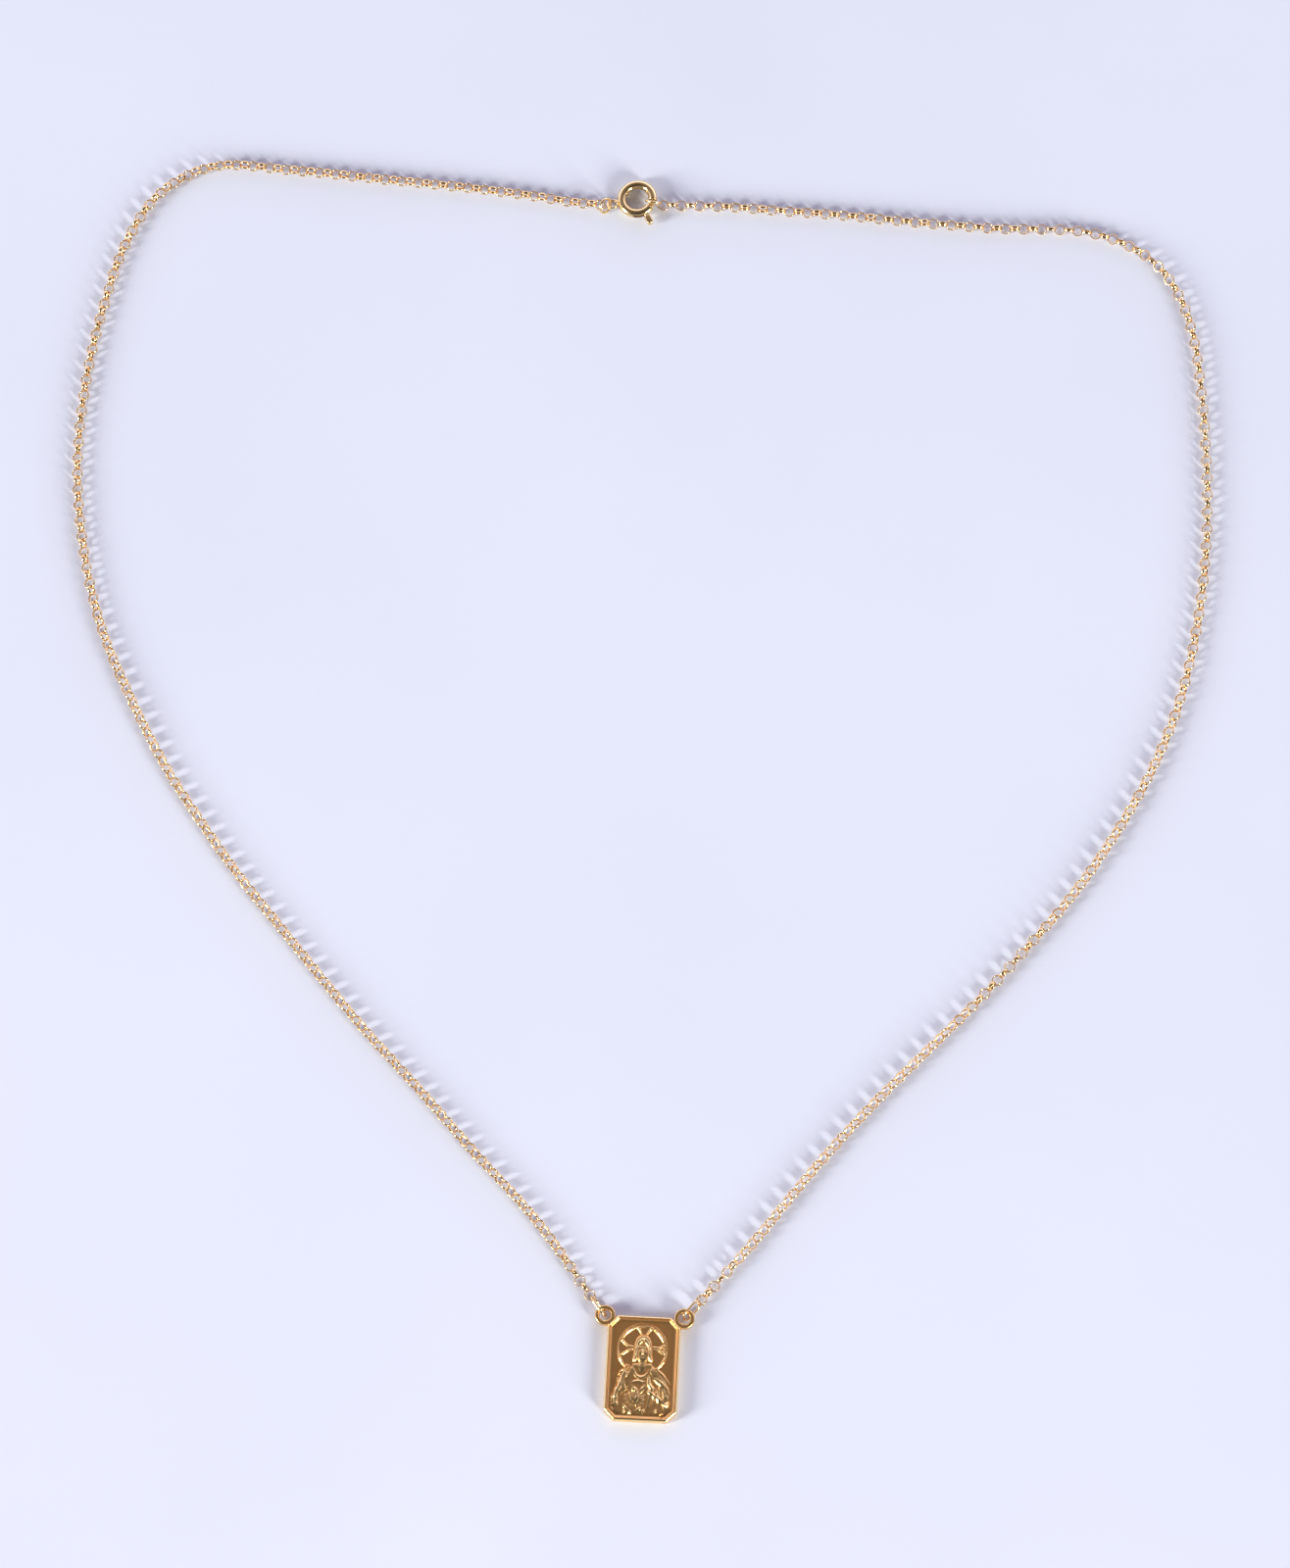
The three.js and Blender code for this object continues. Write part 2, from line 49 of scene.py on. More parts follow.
# camera, floor and light
camera = {
    "elevation": 71.0, "distance": 0.8, "target": (0.0004, -0.0018, 0.0),
    "sensor": 24.0, "lens": 92.31, "clip": 0.01,
}
paper = {
    "size": 1.6, "drop": 0.00002, "colour": (0.75, 0.79, 0.925), "mottle": (0.72, 0.76, 0.895),
    "roughness": 0.85, "specular": 0.2, "patches": 14.0, "grain": 900.0, "depth": 0.00002, "strength": 0.4,
}
studio = {
    "zenith": (0.30, 0.25, 0.235), "wall": (1.85, 1.79, 2.35), "low": 0.25, "high": 0.80,
    "front": -0.3, "behind": 0.7, "south": 0.16,
}
softbox = {"size": (0.68, 0.95), "colour": (1.0, 0.99, 0.90)}
softboxes = {
    "keyLeft": {"at": (-2.14, -0.86, 0.81), "power": 66.0},
    "keyRight": {"at": (1.68, -1.72, 0.81), "power": 69.0},
}


def linkObject(name, data):
    made = bpy.data.objects.new(name, data)
    bpy.context.scene.collection.objects.link(made)
    return made


def makeCamera():
    tilt = math.radians(camera["elevation"])
    data = bpy.data.cameras.new("photoCamera")
    data.sensor_fit = "VERTICAL"
    data.sensor_height = camera["sensor"]
    data.lens = camera["lens"]
    data.clip_start = camera["clip"]
    made = linkObject("photoCamera", data)
    back = Vector((0.0, -math.cos(tilt), math.sin(tilt))) * camera["distance"]
    made.location = Vector(camera["target"]) + back
    made.rotation_euler = (math.pi / 2 - tilt, 0.0, 0.0)
    bpy.context.scene.camera = made


def makeSoftbox(name, box):
    data = bpy.data.lights.new(name, "AREA")
    data.shape = "ELLIPSE"
    data.size, data.size_y = softbox["size"]
    data.energy = box["power"]
    data.color = softbox["colour"]
    made = linkObject(name, data)
    made.location = box["at"]
    made.rotation_euler = (-Vector(box["at"])).to_track_quat("-Z", "Y").to_euler()


def feed(node, fed):
    # a socket is linked, anything else becomes the input's value
    for key, value in fed.items():
        if isinstance(value, bpy.types.NodeSocket):
            node.id_data.links.new(value, node.inputs[key])
        else:
            node.inputs[key].default_value = value


def add(tree, kind, fed=None, out=None, **settings):
    # gives back the named output, or the first that is in use
    node = tree.nodes.new(kind)
    for key, value in settings.items():
        setattr(node, key, value)
    feed(node, fed or {})
    return node.outputs[out] if out else [socket for socket in node.outputs if socket.enabled][0]


def makeWorld():
    world = bpy.data.worlds.new("studio")
    bpy.context.scene.world = world
    world.use_nodes = True
    tree = world.node_tree
    split = tree.nodes.new("ShaderNodeSeparateXYZ")
    feed(split, {0: add(tree, "ShaderNodeTexCoord", out="Generated")})
    ramp = tree.nodes.new("ShaderNodeValToRGB")
    ramp.color_ramp.elements[0].position = studio["low"]
    ramp.color_ramp.elements[0].color = (*studio["wall"], 1.0)
    ramp.color_ramp.elements[1].position = studio["high"]
    ramp.color_ramp.elements[1].color = (*studio["zenith"], 1.0)
    feed(ramp, {"Fac": split.outputs["Z"]})
    # the wall behind the sheet is bright, the side of the camera is dark
    side = add(tree, "ShaderNodeMapRange", {
        "Value": split.outputs["Y"], "From Min": studio["front"], "From Max": studio["behind"],
        "To Min": studio["south"],
    })
    feed(tree.nodes["Background"], {"Color": ramp.outputs["Color"], "Strength": side})


# parts of materials
def newMaterial(name):
    material = bpy.data.materials.new(name)
    material.use_nodes = True
    return material, material.node_tree, material.node_tree.nodes["Principled BSDF"]


def noiseAt(tree, scale, detail=3.0):
    place = add(tree, "ShaderNodeTexCoord", out="Object")
    return add(tree, "ShaderNodeTexNoise", {"Vector": place, "Scale": scale, "Detail": detail})


def spread(tree, value, low, high, span=(0.3, 0.7)):
    # a noise stays mostly inside the span
    return add(tree, "ShaderNodeMapRange", {
        "Value": value, "From Min": span[0], "From Max": span[1], "To Min": low, "To Max": high,
    })


def mixColours(tree, factor, first, second):
    fed = {"Factor": factor, "A": (*first, 1.0), "B": (*second, 1.0)}
    return add(tree, "ShaderNodeMix", fed, data_type="RGBA")


def bumpOf(tree, height, look):
    fed = {"Height": height, "Strength": look["strength"], "Distance": look["depth"]}
    return add(tree, "ShaderNodeBump", fed)


def paperMaterial():
    material, tree, shader = newMaterial("pale_paper")
    mottle = spread(tree, noiseAt(tree, paper["patches"]), 0.0, 1.0)
    feed(shader, {
        "Base Color": mixColours(tree, mottle, paper["colour"], paper["mottle"]),
        "Roughness": paper["roughness"], "Specular IOR Level": paper["specular"],
        "Normal": bumpOf(tree, noiseAt(tree, paper["grain"]), paper),
    })
    return material


def makeFloor():
    half = paper["size"] / 2
    low = -paper["drop"]
    mesh = bpy.data.meshes.new("paperSheet")
    corners = [(-half, -half, low), (half, -half, low), (half, half, low), (-half, half, low)]
    mesh.from_pydata(corners, [], [(0, 1, 2, 3)])
    mesh.materials.append(paperMaterial())
    linkObject("paperSheet", mesh)


# gold finishes: colours and roughness of each, then the scales of their patches, wear and grain
gold = {
    "chain": {"colour": (0.94, 0.68, 0.35), "deep": (0.80, 0.50, 0.22), "smooth": 0.12, "rough": 0.22},
    "clasp": {"colour": (0.97, 0.74, 0.37), "deep": (0.88, 0.64, 0.32), "smooth": 0.13, "rough": 0.22},
    "medal": {"colour": (1.0, 0.72, 0.32), "deep": (0.81, 0.43, 0.15), "smooth": 0.24, "rough": 0.39},
}
wireGrain = {"patches": 700.0, "wear": 2600.0, "grain": 5200.0, "depth": 0.000006, "strength": 0.35}
castGrain = {"patches": 900.0, "swing": 0.12, "grain": 9000.0, "depth": 0.00002, "strength": 0.6}


def wireGold(name, finish):
    material, tree, shader = newMaterial(name)
    patches = spread(tree, noiseAt(tree, wireGrain["patches"]), 0.0, 1.0)
    wear = noiseAt(tree, wireGrain["wear"], detail=4.0)
    feed(shader, {
        "Metallic": 1.0, "Base Color": mixColours(tree, patches, finish["colour"], finish["deep"]),
        "Roughness": spread(tree, wear, finish["smooth"], finish["rough"]),
        "Normal": bumpOf(tree, noiseAt(tree, wireGrain["grain"], detail=2.0), wireGrain),
    })
    return material


def castGold(name, finish):
    material, tree, shader = newMaterial(name)
    # the attribute read here sets colour and roughness: darker and duller in hollows, in the rim's cove and on
    # the field, lighter and glossier on raised relief and crests; partly the cast's own patina and rubbed high
    # points, partly painted shade and painted light
    polishAndPaintedShade = add(tree, "ShaderNodeAttribute", out="Fac", attribute_name="polishAndPaintedShade")
    swing = castGrain["swing"]
    patches = spread(tree, noiseAt(tree, castGrain["patches"]), -swing, swing)
    paintedShadeAndTone = add(tree, "ShaderNodeMath", {0: polishAndPaintedShade, 1: patches}, operation="ADD", use_clamp=True)
    gloss = {"Value": paintedShadeAndTone, "To Min": finish["rough"], "To Max": finish["smooth"]}
    feed(shader, {
        "Metallic": 1.0, "Base Color": mixColours(tree, paintedShadeAndTone, finish["deep"], finish["colour"]),
        "Roughness": add(tree, "ShaderNodeMapRange", gloss),
        "Normal": bumpOf(tree, noiseAt(tree, castGrain["grain"]), castGrain),
    })
    return material


makeCamera()
makeWorld()
for name, box in softboxes.items():
    makeSoftbox(name, box)
makeFloor()
bpy.context.scene.view_settings.view_transform = "Standard"
chainGold = wireGold("chain_gold", gold["chain"])
claspGold = wireGold("clasp_gold", gold["clasp"])
medalGold = castGold("medal_gold", gold["medal"])
print("stage: camera, light, paper and finishes ready")


# mesh helpers
def polar(radius, heading, height=0.0):
    angle = math.radians(heading)
    return Vector((radius * math.cos(angle), radius * math.sin(angle), height))


def meshPiece(name, points, faces, material):
    mesh = bpy.data.meshes.new(name)
    mesh.from_pydata([tuple(p) for p in points], [], faces)
    mesh.validate()
    mesh.update()
    mesh.materials.append(material)
    mesh.polygons.foreach_set("use_smooth", [True] * len(mesh.polygons))
    return linkObject(name, mesh)


def ringFaces(stations, sides, closed=True):
    faces = []
    for i in range(stations if closed else stations - 1):
        ahead = (i + 1) % stations
        for j in range(sides):
            after = (j + 1) % sides
            faces.append((i * sides + j, ahead * sides + j, ahead * sides + after, i * sides + after))
    return faces


def wireLoop(length, width, wire, stations=72, sides=14):
    radius = (width - wire) / 2
    straight = (length - width) / 2
    points = []
    for i in range(stations):
        side = 1 if i < stations / 2 else -1
        half = stations // 2
        share = (i % half) / (half - 1 if straight > 0 else half)
        out = polar(1.0, (-90.0 if side > 0 else 90.0) + 180.0 * share)
        middle = out * radius + Vector((side * straight, 0.0, 0.0))
        for j in range(sides):
            around = 2 * math.pi * j / sides
            rise = Vector((0, 0, math.sin(around) * wire / 2))
            points.append(middle + out * (math.cos(around) * wire / 2) + rise)
    return points, ringFaces(stations, sides)


def capped(points, sides):
    stations = len(points) // sides
    start = tuple(range(sides))
    end = tuple(reversed(range((stations - 1) * sides, stations * sides)))
    return points, [*ringFaces(stations, sides, closed=False), start, end]


def turnOutward(piece):
    work = bmesh.new()
    work.from_mesh(piece.data)
    bmesh.ops.remove_doubles(work, verts=work.verts, dist=1e-8)
    bmesh.ops.recalc_face_normals(work, faces=work.faces)
    work.to_mesh(piece.data)
    work.free()


def joinPieces(name, parts):
    with bpy.context.temp_override(active_object=parts[0], selected_editable_objects=parts):
        bpy.ops.object.join()
    parts[0].name = name
    return parts[0]


def moved(points, place):
    return [place @ Vector(p) for p in points]


def leaning(centre, heading, lean):
    turn = Matrix.Rotation(math.radians(heading), 4, "Z") @ Matrix.Rotation(math.radians(lean), 4, "X")
    return Matrix.Translation(centre) @ turn


def finishPiece(piece, body, slot, *nodes):
    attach(piece, body)
    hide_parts(*nodes)


def nodeCentre(node):
    low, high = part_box(node)
    return (low + high) / 2


# end links and jump rings stand on edge where their solids stand
ovalLink = {"length": 3.3, "width": 2.0, "wire": 0.28, "lean": 68.0, "gold": "chain"}
roundRing = {"length": 2.3, "width": 2.3, "wire": 0.32, "gold": "clasp"}
rings = {
    "end_link_left": {**ovalLink, "name": "oval_link_left", "heading": 125.0},
    "end_link_right": {**ovalLink, "name": "oval_link_right", "heading": 49.5},
    "jump_ring_left": {**roundRing, "name": "round_ring_left", "heading": 55.0, "lean": 62.0},
    "jump_ring_right": {**roundRing, "name": "round_ring_right", "heading": 170.0, "lean": 65.0},
}


def makeRing(node, size):
    points, faces = wireLoop(size["length"] * mm, size["width"] * mm, size["wire"] * mm)
    place = leaning(nodeCentre(node), size["heading"], size["lean"])
    material = chainGold if size["gold"] == "chain" else claspGold
    piece = meshPiece(size["name"], moved(points, place), faces, material)
    finishPiece(piece, "necklace", size["gold"] + "_gold", node)


for node, size in rings.items():
    makeRing(node, size)
print("stage: oval links and jump rings made")

# chain: round links along the solids' route, alternately rolled; rolls are (share of the run, degrees)
chain = {
    "linkAcross": 1.48 * mm, "thickness": 0.155 * mm, "band": 0.42 * mm, "firstGap": 0.3 * mm,
    "held": 0.35, "rollJitter": 7.0, "yawJitter": 4.0, "seed": 7, "yawSeed": 11.0,
    "linkSteps": 20, "wireSides": 8,
}
runs = {
    "left": {
        "node": "chain_left", "pitch": 1.145 * mm, "from": "end_link_left",
        "to": "jump_ring_left", "toHeading": 150.0, "toReach": 0.55,
        "rolls": ((0.0, -22.0), (0.03, 33.0), (0.38, 33.0), (0.50, 62.0), (0.60, 80.0), (1.0, 90.0)),
    },
    "right": {
        "node": "chain_right", "pitch": 1.235 * mm, "from": "end_link_right",
        "to": "jump_ring_right", "toHeading": -10.0, "toReach": 1.15,
        "rolls": (
            (0.0, -22.0), (0.03, 50.0), (0.20, 55.0), (0.255, 92.0), (0.31, 57.0), (0.45, 62.0),
            (0.60, 75.0), (0.73, 48.0), (0.82, 84.0), (0.96, 88.0), (1.0, 65.0),
        ),
    },
}
# millimetres, the same points as the solids follow
route = {
    "left": [
        (-13.5, -61.9), (-22.0, -52.3), (-29.2, -43.9), (-35.8, -36.5), (-41.7, -29.3), (-47.3, -22.2),
        (-52.9, -15.1), (-58.2, -7.5), (-63.4, 0.8), (-68.0, 9.9), (-72.3, 20.2), (-75.0, 31.4),
        (-76.2, 43.5), (-75.4, 56.0), (-73.3, 67.1), (-70.4, 76.7), (-66.1, 83.7), (-59.0, 87.7),
        (-47.3, 87.1), (-35.5, 85.8), (-24.4, 84.6), (-14.8, 83.3), (-9.6, 82.4),
    ],
    "right": [
        (14.1, -65.0), (22.7, -54.4), (30.2, -46.0), (37.3, -38.8), (44.0, -32.0), (50.4, -24.9),
        (56.6, -17.6), (62.3, -9.4), (67.4, -0.5), (71.5, 9.4), (74.2, 20.2), (75.9, 33.0),
        (76.2, 44.2), (75.8, 54.5), (74.9, 62.7), (73.0, 68.8), (69.3, 73.9), (61.9, 77.6),
        (47.5, 78.5), (36.1, 79.5), (26.4, 80.5), (17.5, 81.2), (11.2, 81.7),
    ],
}


def between(a, b, first, last, t):
    return a * ((last - t) / (last - first)) + b * ((t - first) / (last - first))


def centripetal(points, steps=24):
    ends = [points[0] * 2 - points[1], *points, points[-1] * 2 - points[-2]]
    path = []
    for a, b, c, d in zip(ends, ends[1:], ends[2:], ends[3:]):
        knots = [0.0]
        for p, q in ((a, b), (b, c), (c, d)):
            knots.append(knots[-1] + max((q - p).length, 1e-9) ** 0.5)
        k0, k1, k2, k3 = knots
        for i in range(steps):
            t = k1 + (k2 - k1) * i / steps
            bc = between(b, c, k1, k2, t)
            abc = between(between(a, b, k0, k1, t), bc, k0, k2, t)
            bcd = between(bc, between(c, d, k2, k3, t), k1, k3, t)
            path.append(between(abc, bcd, k1, k2, t))
    return [*path, points[-1]]


def runPath(name):
    run = runs[name]
    link = rings[run["from"]]
    first = nodeCentre(run["from"]) + polar(link["length"] / 2 * mm + chain["firstGap"], link["heading"])
    last = nodeCentre(run["to"]) + polar(run["toReach"] * mm + chain["firstGap"], run["toHeading"])
    points = [first, *[Vector((x * mm, y * mm, 0.0)) for x, y in route[name]], last]
    for point in points:
        point.z = 0.0
    return centripetal(points)


def linkTree():
    tree = bpy.data.node_groups.new("chainLinks", "GeometryNodeTree")
    face = tree.interface
    face.new_socket("Geometry", in_out="INPUT", socket_type="NodeSocketGeometry")
    for kind, names in (
        ("Float", ("Link Across", "Link Length", "Thickness", "Band", "Roll Jitter", "Yaw Jitter")),
        ("Int", ("Links", "Seed", "Link Steps", "Wire Sides")), ("Material", ("Finish",)),
    ):
        for name in names:
            face.new_socket(name, in_out="INPUT", socket_type="NodeSocket" + kind)
    face.new_socket("Geometry", in_out="OUTPUT", socket_type="NodeSocketGeometry")
    given = tree.nodes.new("NodeGroupInput").outputs

    def make(kind, fed=None, **settings):
        return add(tree, kind, fed, **settings)

    def maths(operation, *values):
        return make("ShaderNodeMath", dict(enumerate(values)), operation=operation)

    def jitter(limit, offset):
        # sockets 2 and 3 are the lowest and highest number
        low = maths("MULTIPLY", limit, -1.0)
        seed = maths("ADD", given["Seed"], offset)
        return make("FunctionNodeRandomValue", {2: low, 3: limit, "Seed": seed}, data_type="FLOAT")

    def circle(steps, radius):
        return make("GeometryNodeCurvePrimitiveCircle", {"Resolution": steps, "Radius": radius}, mode="RADIUS")

    curve = make("GeometryNodeMeshToCurve", {"Mesh": given["Geometry"]})
    spaced = make("GeometryNodeResampleCurve", {"Curve": curve, "Count": given["Links"]})
    roll = make("GeometryNodeInputNamedAttribute", {"Name": "roll"}, data_type="FLOAT")
    quarter = maths("MULTIPLY", maths("MODULO", make("GeometryNodeInputIndex"), 2.0), math.pi / 2)
    turned = maths("ADD", maths("ADD", roll, quarter), jitter(given["Roll Jitter"], 0.0))
    ringRadius = maths("MULTIPLY", maths("SUBTRACT", given["Link Across"], given["Thickness"]), 0.5)
    halfBand = maths("MULTIPLY", given["Band"], 0.5)
    halfThick = maths("MULTIPLY", given["Thickness"], 0.5)
    # every link is lifted until its lowest point touches the paper
    standing = maths("ABSOLUTE", maths("SINE", turned))
    lying = maths("ABSOLUTE", maths("COSINE", turned))
    held = maths("MULTIPLY", lying, chain["held"])
    foot = maths("ADD", maths("MULTIPLY", lying, halfBand), maths("MULTIPLY", standing, halfThick))
    rise = maths("ADD", maths("MULTIPLY", maths("MAXIMUM", standing, held), ringRadius), foot)
    lift = make("ShaderNodeCombineXYZ", {"Z": rise})
    raised = make("GeometryNodeSetPosition", {"Geometry": spaced, "Offset": lift})
    tangent = make("GeometryNodeInputTangent")
    level = make("ShaderNodeVectorMath", {0: tangent, 1: (1.0, 1.0, 0.0)}, operation="MULTIPLY")
    along = make("FunctionNodeAlignRotationToVector", {"Vector": level}, axis="X", pivot_axis="Z")
    yaw = jitter(given["Yaw Jitter"], chain["yawSeed"])
    turn = make("FunctionNodeEulerToRotation", {0: make("ShaderNodeCombineXYZ", {"X": turned, "Z": yaw})})
    turns = {"Rotation": along, "Rotate By": turn}
    rotation = make("FunctionNodeRotateRotation", turns, rotation_space="LOCAL")
    halfLength = maths("MULTIPLY", maths("SUBTRACT", given["Link Length"], given["Thickness"]), 0.5)
    stretch = make("ShaderNodeCombineXYZ", {"X": maths("DIVIDE", halfLength, ringRadius), "Y": 1.0, "Z": 1.0})
    ring = circle(given["Link Steps"], ringRadius)
    loop = make("GeometryNodeTransform", {"Geometry": ring, "Scale": stretch})
    flatten = make("ShaderNodeCombineXYZ", {"X": halfThick, "Y": halfBand, "Z": 1.0})
    section = make("GeometryNodeTransform", {"Geometry": circle(given["Wire Sides"], 1.0), "Scale": flatten})
    link = make("GeometryNodeCurveToMesh", {"Curve": loop, "Profile Curve": section})
    placed = make("GeometryNodeInstanceOnPoints", {"Points": raised, "Instance": link, "Rotation": rotation})
    real = make("GeometryNodeRealizeInstances", {"Geometry": placed})
    smooth = make("GeometryNodeSetShadeSmooth", {"Geometry": real})
    finish = make("GeometryNodeSetMaterial", {"Geometry": smooth, "Material": given["Finish"]})
    feed(tree.nodes.new("NodeGroupOutput"), {"Geometry": finish})
    return tree


def plainMesh(maker, name):
    seen = maker.evaluated_get(bpy.context.evaluated_depsgraph_get())
    mesh = bpy.data.meshes.new_from_object(seen)
    mesh.name = name
    bpy.data.objects.remove(maker)
    return linkObject(name, mesh)


def makeRun(name, tree):
    run = runs[name]
    path = runPath(name)
    lengths = [0.0]
    for a, b in zip(path, path[1:]):
        lengths.append(lengths[-1] + (b - a).length)
    count = round(lengths[-1] / run["pitch"]) + 1
    line = bpy.data.meshes.new("chainPath" + name)
    line.from_pydata([tuple(p) for p in path], [(i, i + 1) for i in range(len(path) - 1)], [])
    shares, turns = zip(*run["rolls"])
    rolls = np.interp(np.array(lengths) / lengths[-1], shares, np.radians(turns))
    line.attributes.new("roll", "FLOAT", "POINT").data.foreach_set("value", rolls.astype(np.float32))
    maker = linkObject("chainPath" + name, line)
    modifier = maker.modifiers.new("links", "NODES")
    modifier.node_group = tree
    values = {
        "Links": count, "Link Across": chain["linkAcross"], "Thickness": chain["thickness"],
        "Link Length": run["pitch"] + 2 * chain["thickness"], "Band": chain["band"],
        "Roll Jitter": math.radians(chain["rollJitter"]), "Yaw Jitter": math.radians(chain["yawJitter"]),
        "Seed": chain["seed"], "Link Steps": chain["linkSteps"], "Wire Sides": chain["wireSides"],
        "Finish": chainGold,
    }
    for item in tree.interface.items_tree:
        if item.in_out == "INPUT" and item.name in values:
            modifier[item.identifier] = values[item.name]
    piece = plainMesh(maker, "round_links_" + name)
    finishPiece(piece, "necklace", "chain_gold", run["node"])
    print("stage: chain", name, count, "links,", round(lengths[-1] * 1000, 1), "mm")


chainTree = linkTree()
for name in runs:
    makeRun(name, chainTree)

# medal: cast plate with cut corners and raised rim, relief slab, two soldered washer ears
medal = {
    "width": 9.4, "height": 13.75, "cut": 1.28, "cornerRadius": 0.14, "cornerSteps": 4,
    "place": (0.04, -81.42), "turn": -2.8, "sharp": 38.0, "field": 0.88,
    "slabInset": 0.72, "slabRoot": 0.6, "slabSkin": 0.006, "slabPolishAndPaintedShade": 0.2,
}
# (inset, height, polish) from the back up over the rim and down to the field; the lowest polish, in the cove at
# the rim's foot, is painted shade as well as a duller finish
plateLevels = [
    (0.16, 0.0, 0.8), (0.09, 0.015, 0.8), (0.035, 0.06, 0.85), (0.0, 0.15, 0.9), (0.0, 0.19, 0.9),
    (0.0, 0.98, 0.9), (0.0, 1.02, 0.95), (0.015, 1.08, 1.0), (0.05, 1.155, 1.0), (0.10, 1.22, 1.0),
    (0.16, 1.268, 1.0), (0.22, 1.293, 1.0), (0.27, 1.30, 1.0), (0.31, 1.285, 0.8), (0.34, 1.24, 0.5),
    (0.36, 1.15, 0.1), (0.39, 1.07, 0.0), (0.44, 1.01, 0.0), (0.52, 0.955, 0.25), (0.62, 0.915, 0.3),
    (0.72, 0.892, 0.2), (0.84, 0.88, 0.15),
]
# the ears' one polish value makes them a darker, duller gold all over: partly a duller finish, partly painted
# shade
ears = {
    "across": 2.65, "hole": 1.5, "thickness": 0.86, "round": 0.17, "at": (5.107, 6.829), "height": 0.78,
    "neck": (1.0, 0.7), "neckPower": 0.6, "neckSides": 16, "stations": 56, "polishAndPaintedShade": 0.65,
}


def plateOutline(inset):
    halfWidth = medal["width"] / 2 - inset
    halfHeight = medal["height"] / 2 - inset
    reach = medal["width"] / 2 + medal["height"] / 2 - medal["cut"] - inset * math.sqrt(2)
    corners = []
    for sx, sy in ((1, 1), (-1, 1), (-1, -1), (1, -1)):
        pair = [(sx * halfWidth, sy * (reach - halfWidth)), (sx * (reach - halfHeight), sy * halfHeight)]
        corners += pair if sx * sy > 0 else pair[::-1]
    points = []
    for i, corner in enumerate(corners):
        here = Vector(corner)
        before = (Vector(corners[i - 1]) - here).normalized()
        after = (Vector(corners[(i + 1) % 8]) - here).normalized()
        tangent = medal["cornerRadius"] * math.tan(math.radians(22.5))
        for j in range(medal["cornerSteps"] + 1):
            share = j / medal["cornerSteps"]
            first, last = here + before * tangent, here + after * tangent
            points.append(first * (1 - share) ** 2 + here * 2 * share * (1 - share) + last * share ** 2)
    return points


def spin(points, turn, place):
    angle = math.radians(turn)
    c, s = math.cos(angle), math.sin(angle)
    return [Vector((p[0] * c - p[1] * s + place[0], p[0] * s + p[1] * c + place[1], p[2])) * mm for p in points]


# relief forms on a grid in millimetres from the medal's centre; each returns its height over the field
def segmentShare(x, y, a, b):
    dx, dy = b[0] - a[0], b[1] - a[1]
    share = np.clip(((x - a[0]) * dx + (y - a[1]) * dy) / (dx * dx + dy * dy + 1e-12), 0.0, 1.0)
    return np.hypot(x - a[0] - share * dx, y - a[1] - share * dy), share


def ridge(x, y, points, widths, heights, power=0.8):
    best = np.zeros_like(x)
    widths = np.interp(np.linspace(0, 1, len(points)), np.linspace(0, 1, len(widths)), widths)
    heights = np.interp(np.linspace(0, 1, len(points)), np.linspace(0, 1, len(heights)), heights)
    for i in range(len(points) - 1):
        away, share = segmentShare(x, y, points[i], points[i + 1])
        width = widths[i] * (1 - share) + widths[i + 1] * share
        height = heights[i] * (1 - share) + heights[i + 1] * share
        best = np.maximum(best, height * np.clip(1 - (away / width) ** 2, 0.0, 1.0) ** power)
    return best


def dome(x, y, centre, radii, height, power=0.75, turn=0.0):
    angle = math.radians(turn)
    dx, dy = x - centre[0], y - centre[1]
    u = (dx * math.cos(angle) + dy * math.sin(angle)) / radii[0]
    v = (dy * math.cos(angle) - dx * math.sin(angle)) / radii[1]
    return height * np.clip(1 - u * u - v * v, 0.0, 1.0) ** power


def plateau(x, y, points, height, edge):
    inside = np.zeros(x.shape, bool)
    away = np.full(x.shape, 99.0)
    for a, b in zip(points, points[1:] + points[:1]):
        away = np.minimum(away, segmentShare(x, y, a, b)[0])
        if a[1] != b[1]:
            crossing = (a[1] > y) != (b[1] > y)
            inside ^= crossing & (x < (b[0] - a[0]) * (y - a[1]) / (b[1] - a[1]) + a[0])
    share = np.clip(away / edge, 0.0, 1.0) * inside
    return height * share * (2 - share)


def blend(a, b, soft=0.05):
    swell = soft / 4 * np.clip(1 - np.abs(a - b) / soft, 0.0, 1.0) ** 2
    return np.maximum(a, b) + swell * np.clip(a / soft, 0, 1) * np.clip(b / soft, 0, 1)


def arcPoints(centre, radii, start, end, steps=24):
    turns = np.radians(np.linspace(start, end, steps))
    return [(centre[0] + radii[0] * math.cos(t), centre[1] + radii[1] * math.sin(t)) for t in turns]


halo = {
    "outer": ((-0.08, 2.62), (3.12, 3.28)), "inner": ((-0.12, 2.70), (2.85, 2.85)),
    "strong": ((183, 226), (308, 354)), "arcs": ((104, 152), (16, 66)), "disc": 0.035, "discEdge": 0.05,
    "thin": ((0.085,), (0.11,)), "bold": ((0.09, 0.2, 0.09), (0.12, 0.28, 0.12)),
    "arc": ((0.12, 0.2, 0.14), (0.16, 0.28, 0.18)), "cross": ((0.2, 0.13), (0.24, 0.17), 1.1),
}
crossLines = [
    [(-0.77, 5.38), (-0.5, 5.0), (-0.26, 4.5)], [(1.0, 5.42), (0.7, 5.0), (0.44, 4.58)],
    [(-0.54, 5.48), (0.2, 5.58), (0.9, 5.5)], [(-2.72, 3.6), (-2.0, 2.92), (-1.3, 2.87)],
    [(-2.64, 1.84), (-1.9, 2.38), (-1.34, 2.53)], [(2.74, 3.12), (1.98, 2.78), (1.24, 2.9)],
    [(2.62, 2.1), (2.0, 2.48), (1.37, 2.66)], [(2.72, 3.0), (2.74, 2.5), (2.6, 2.15)],
]
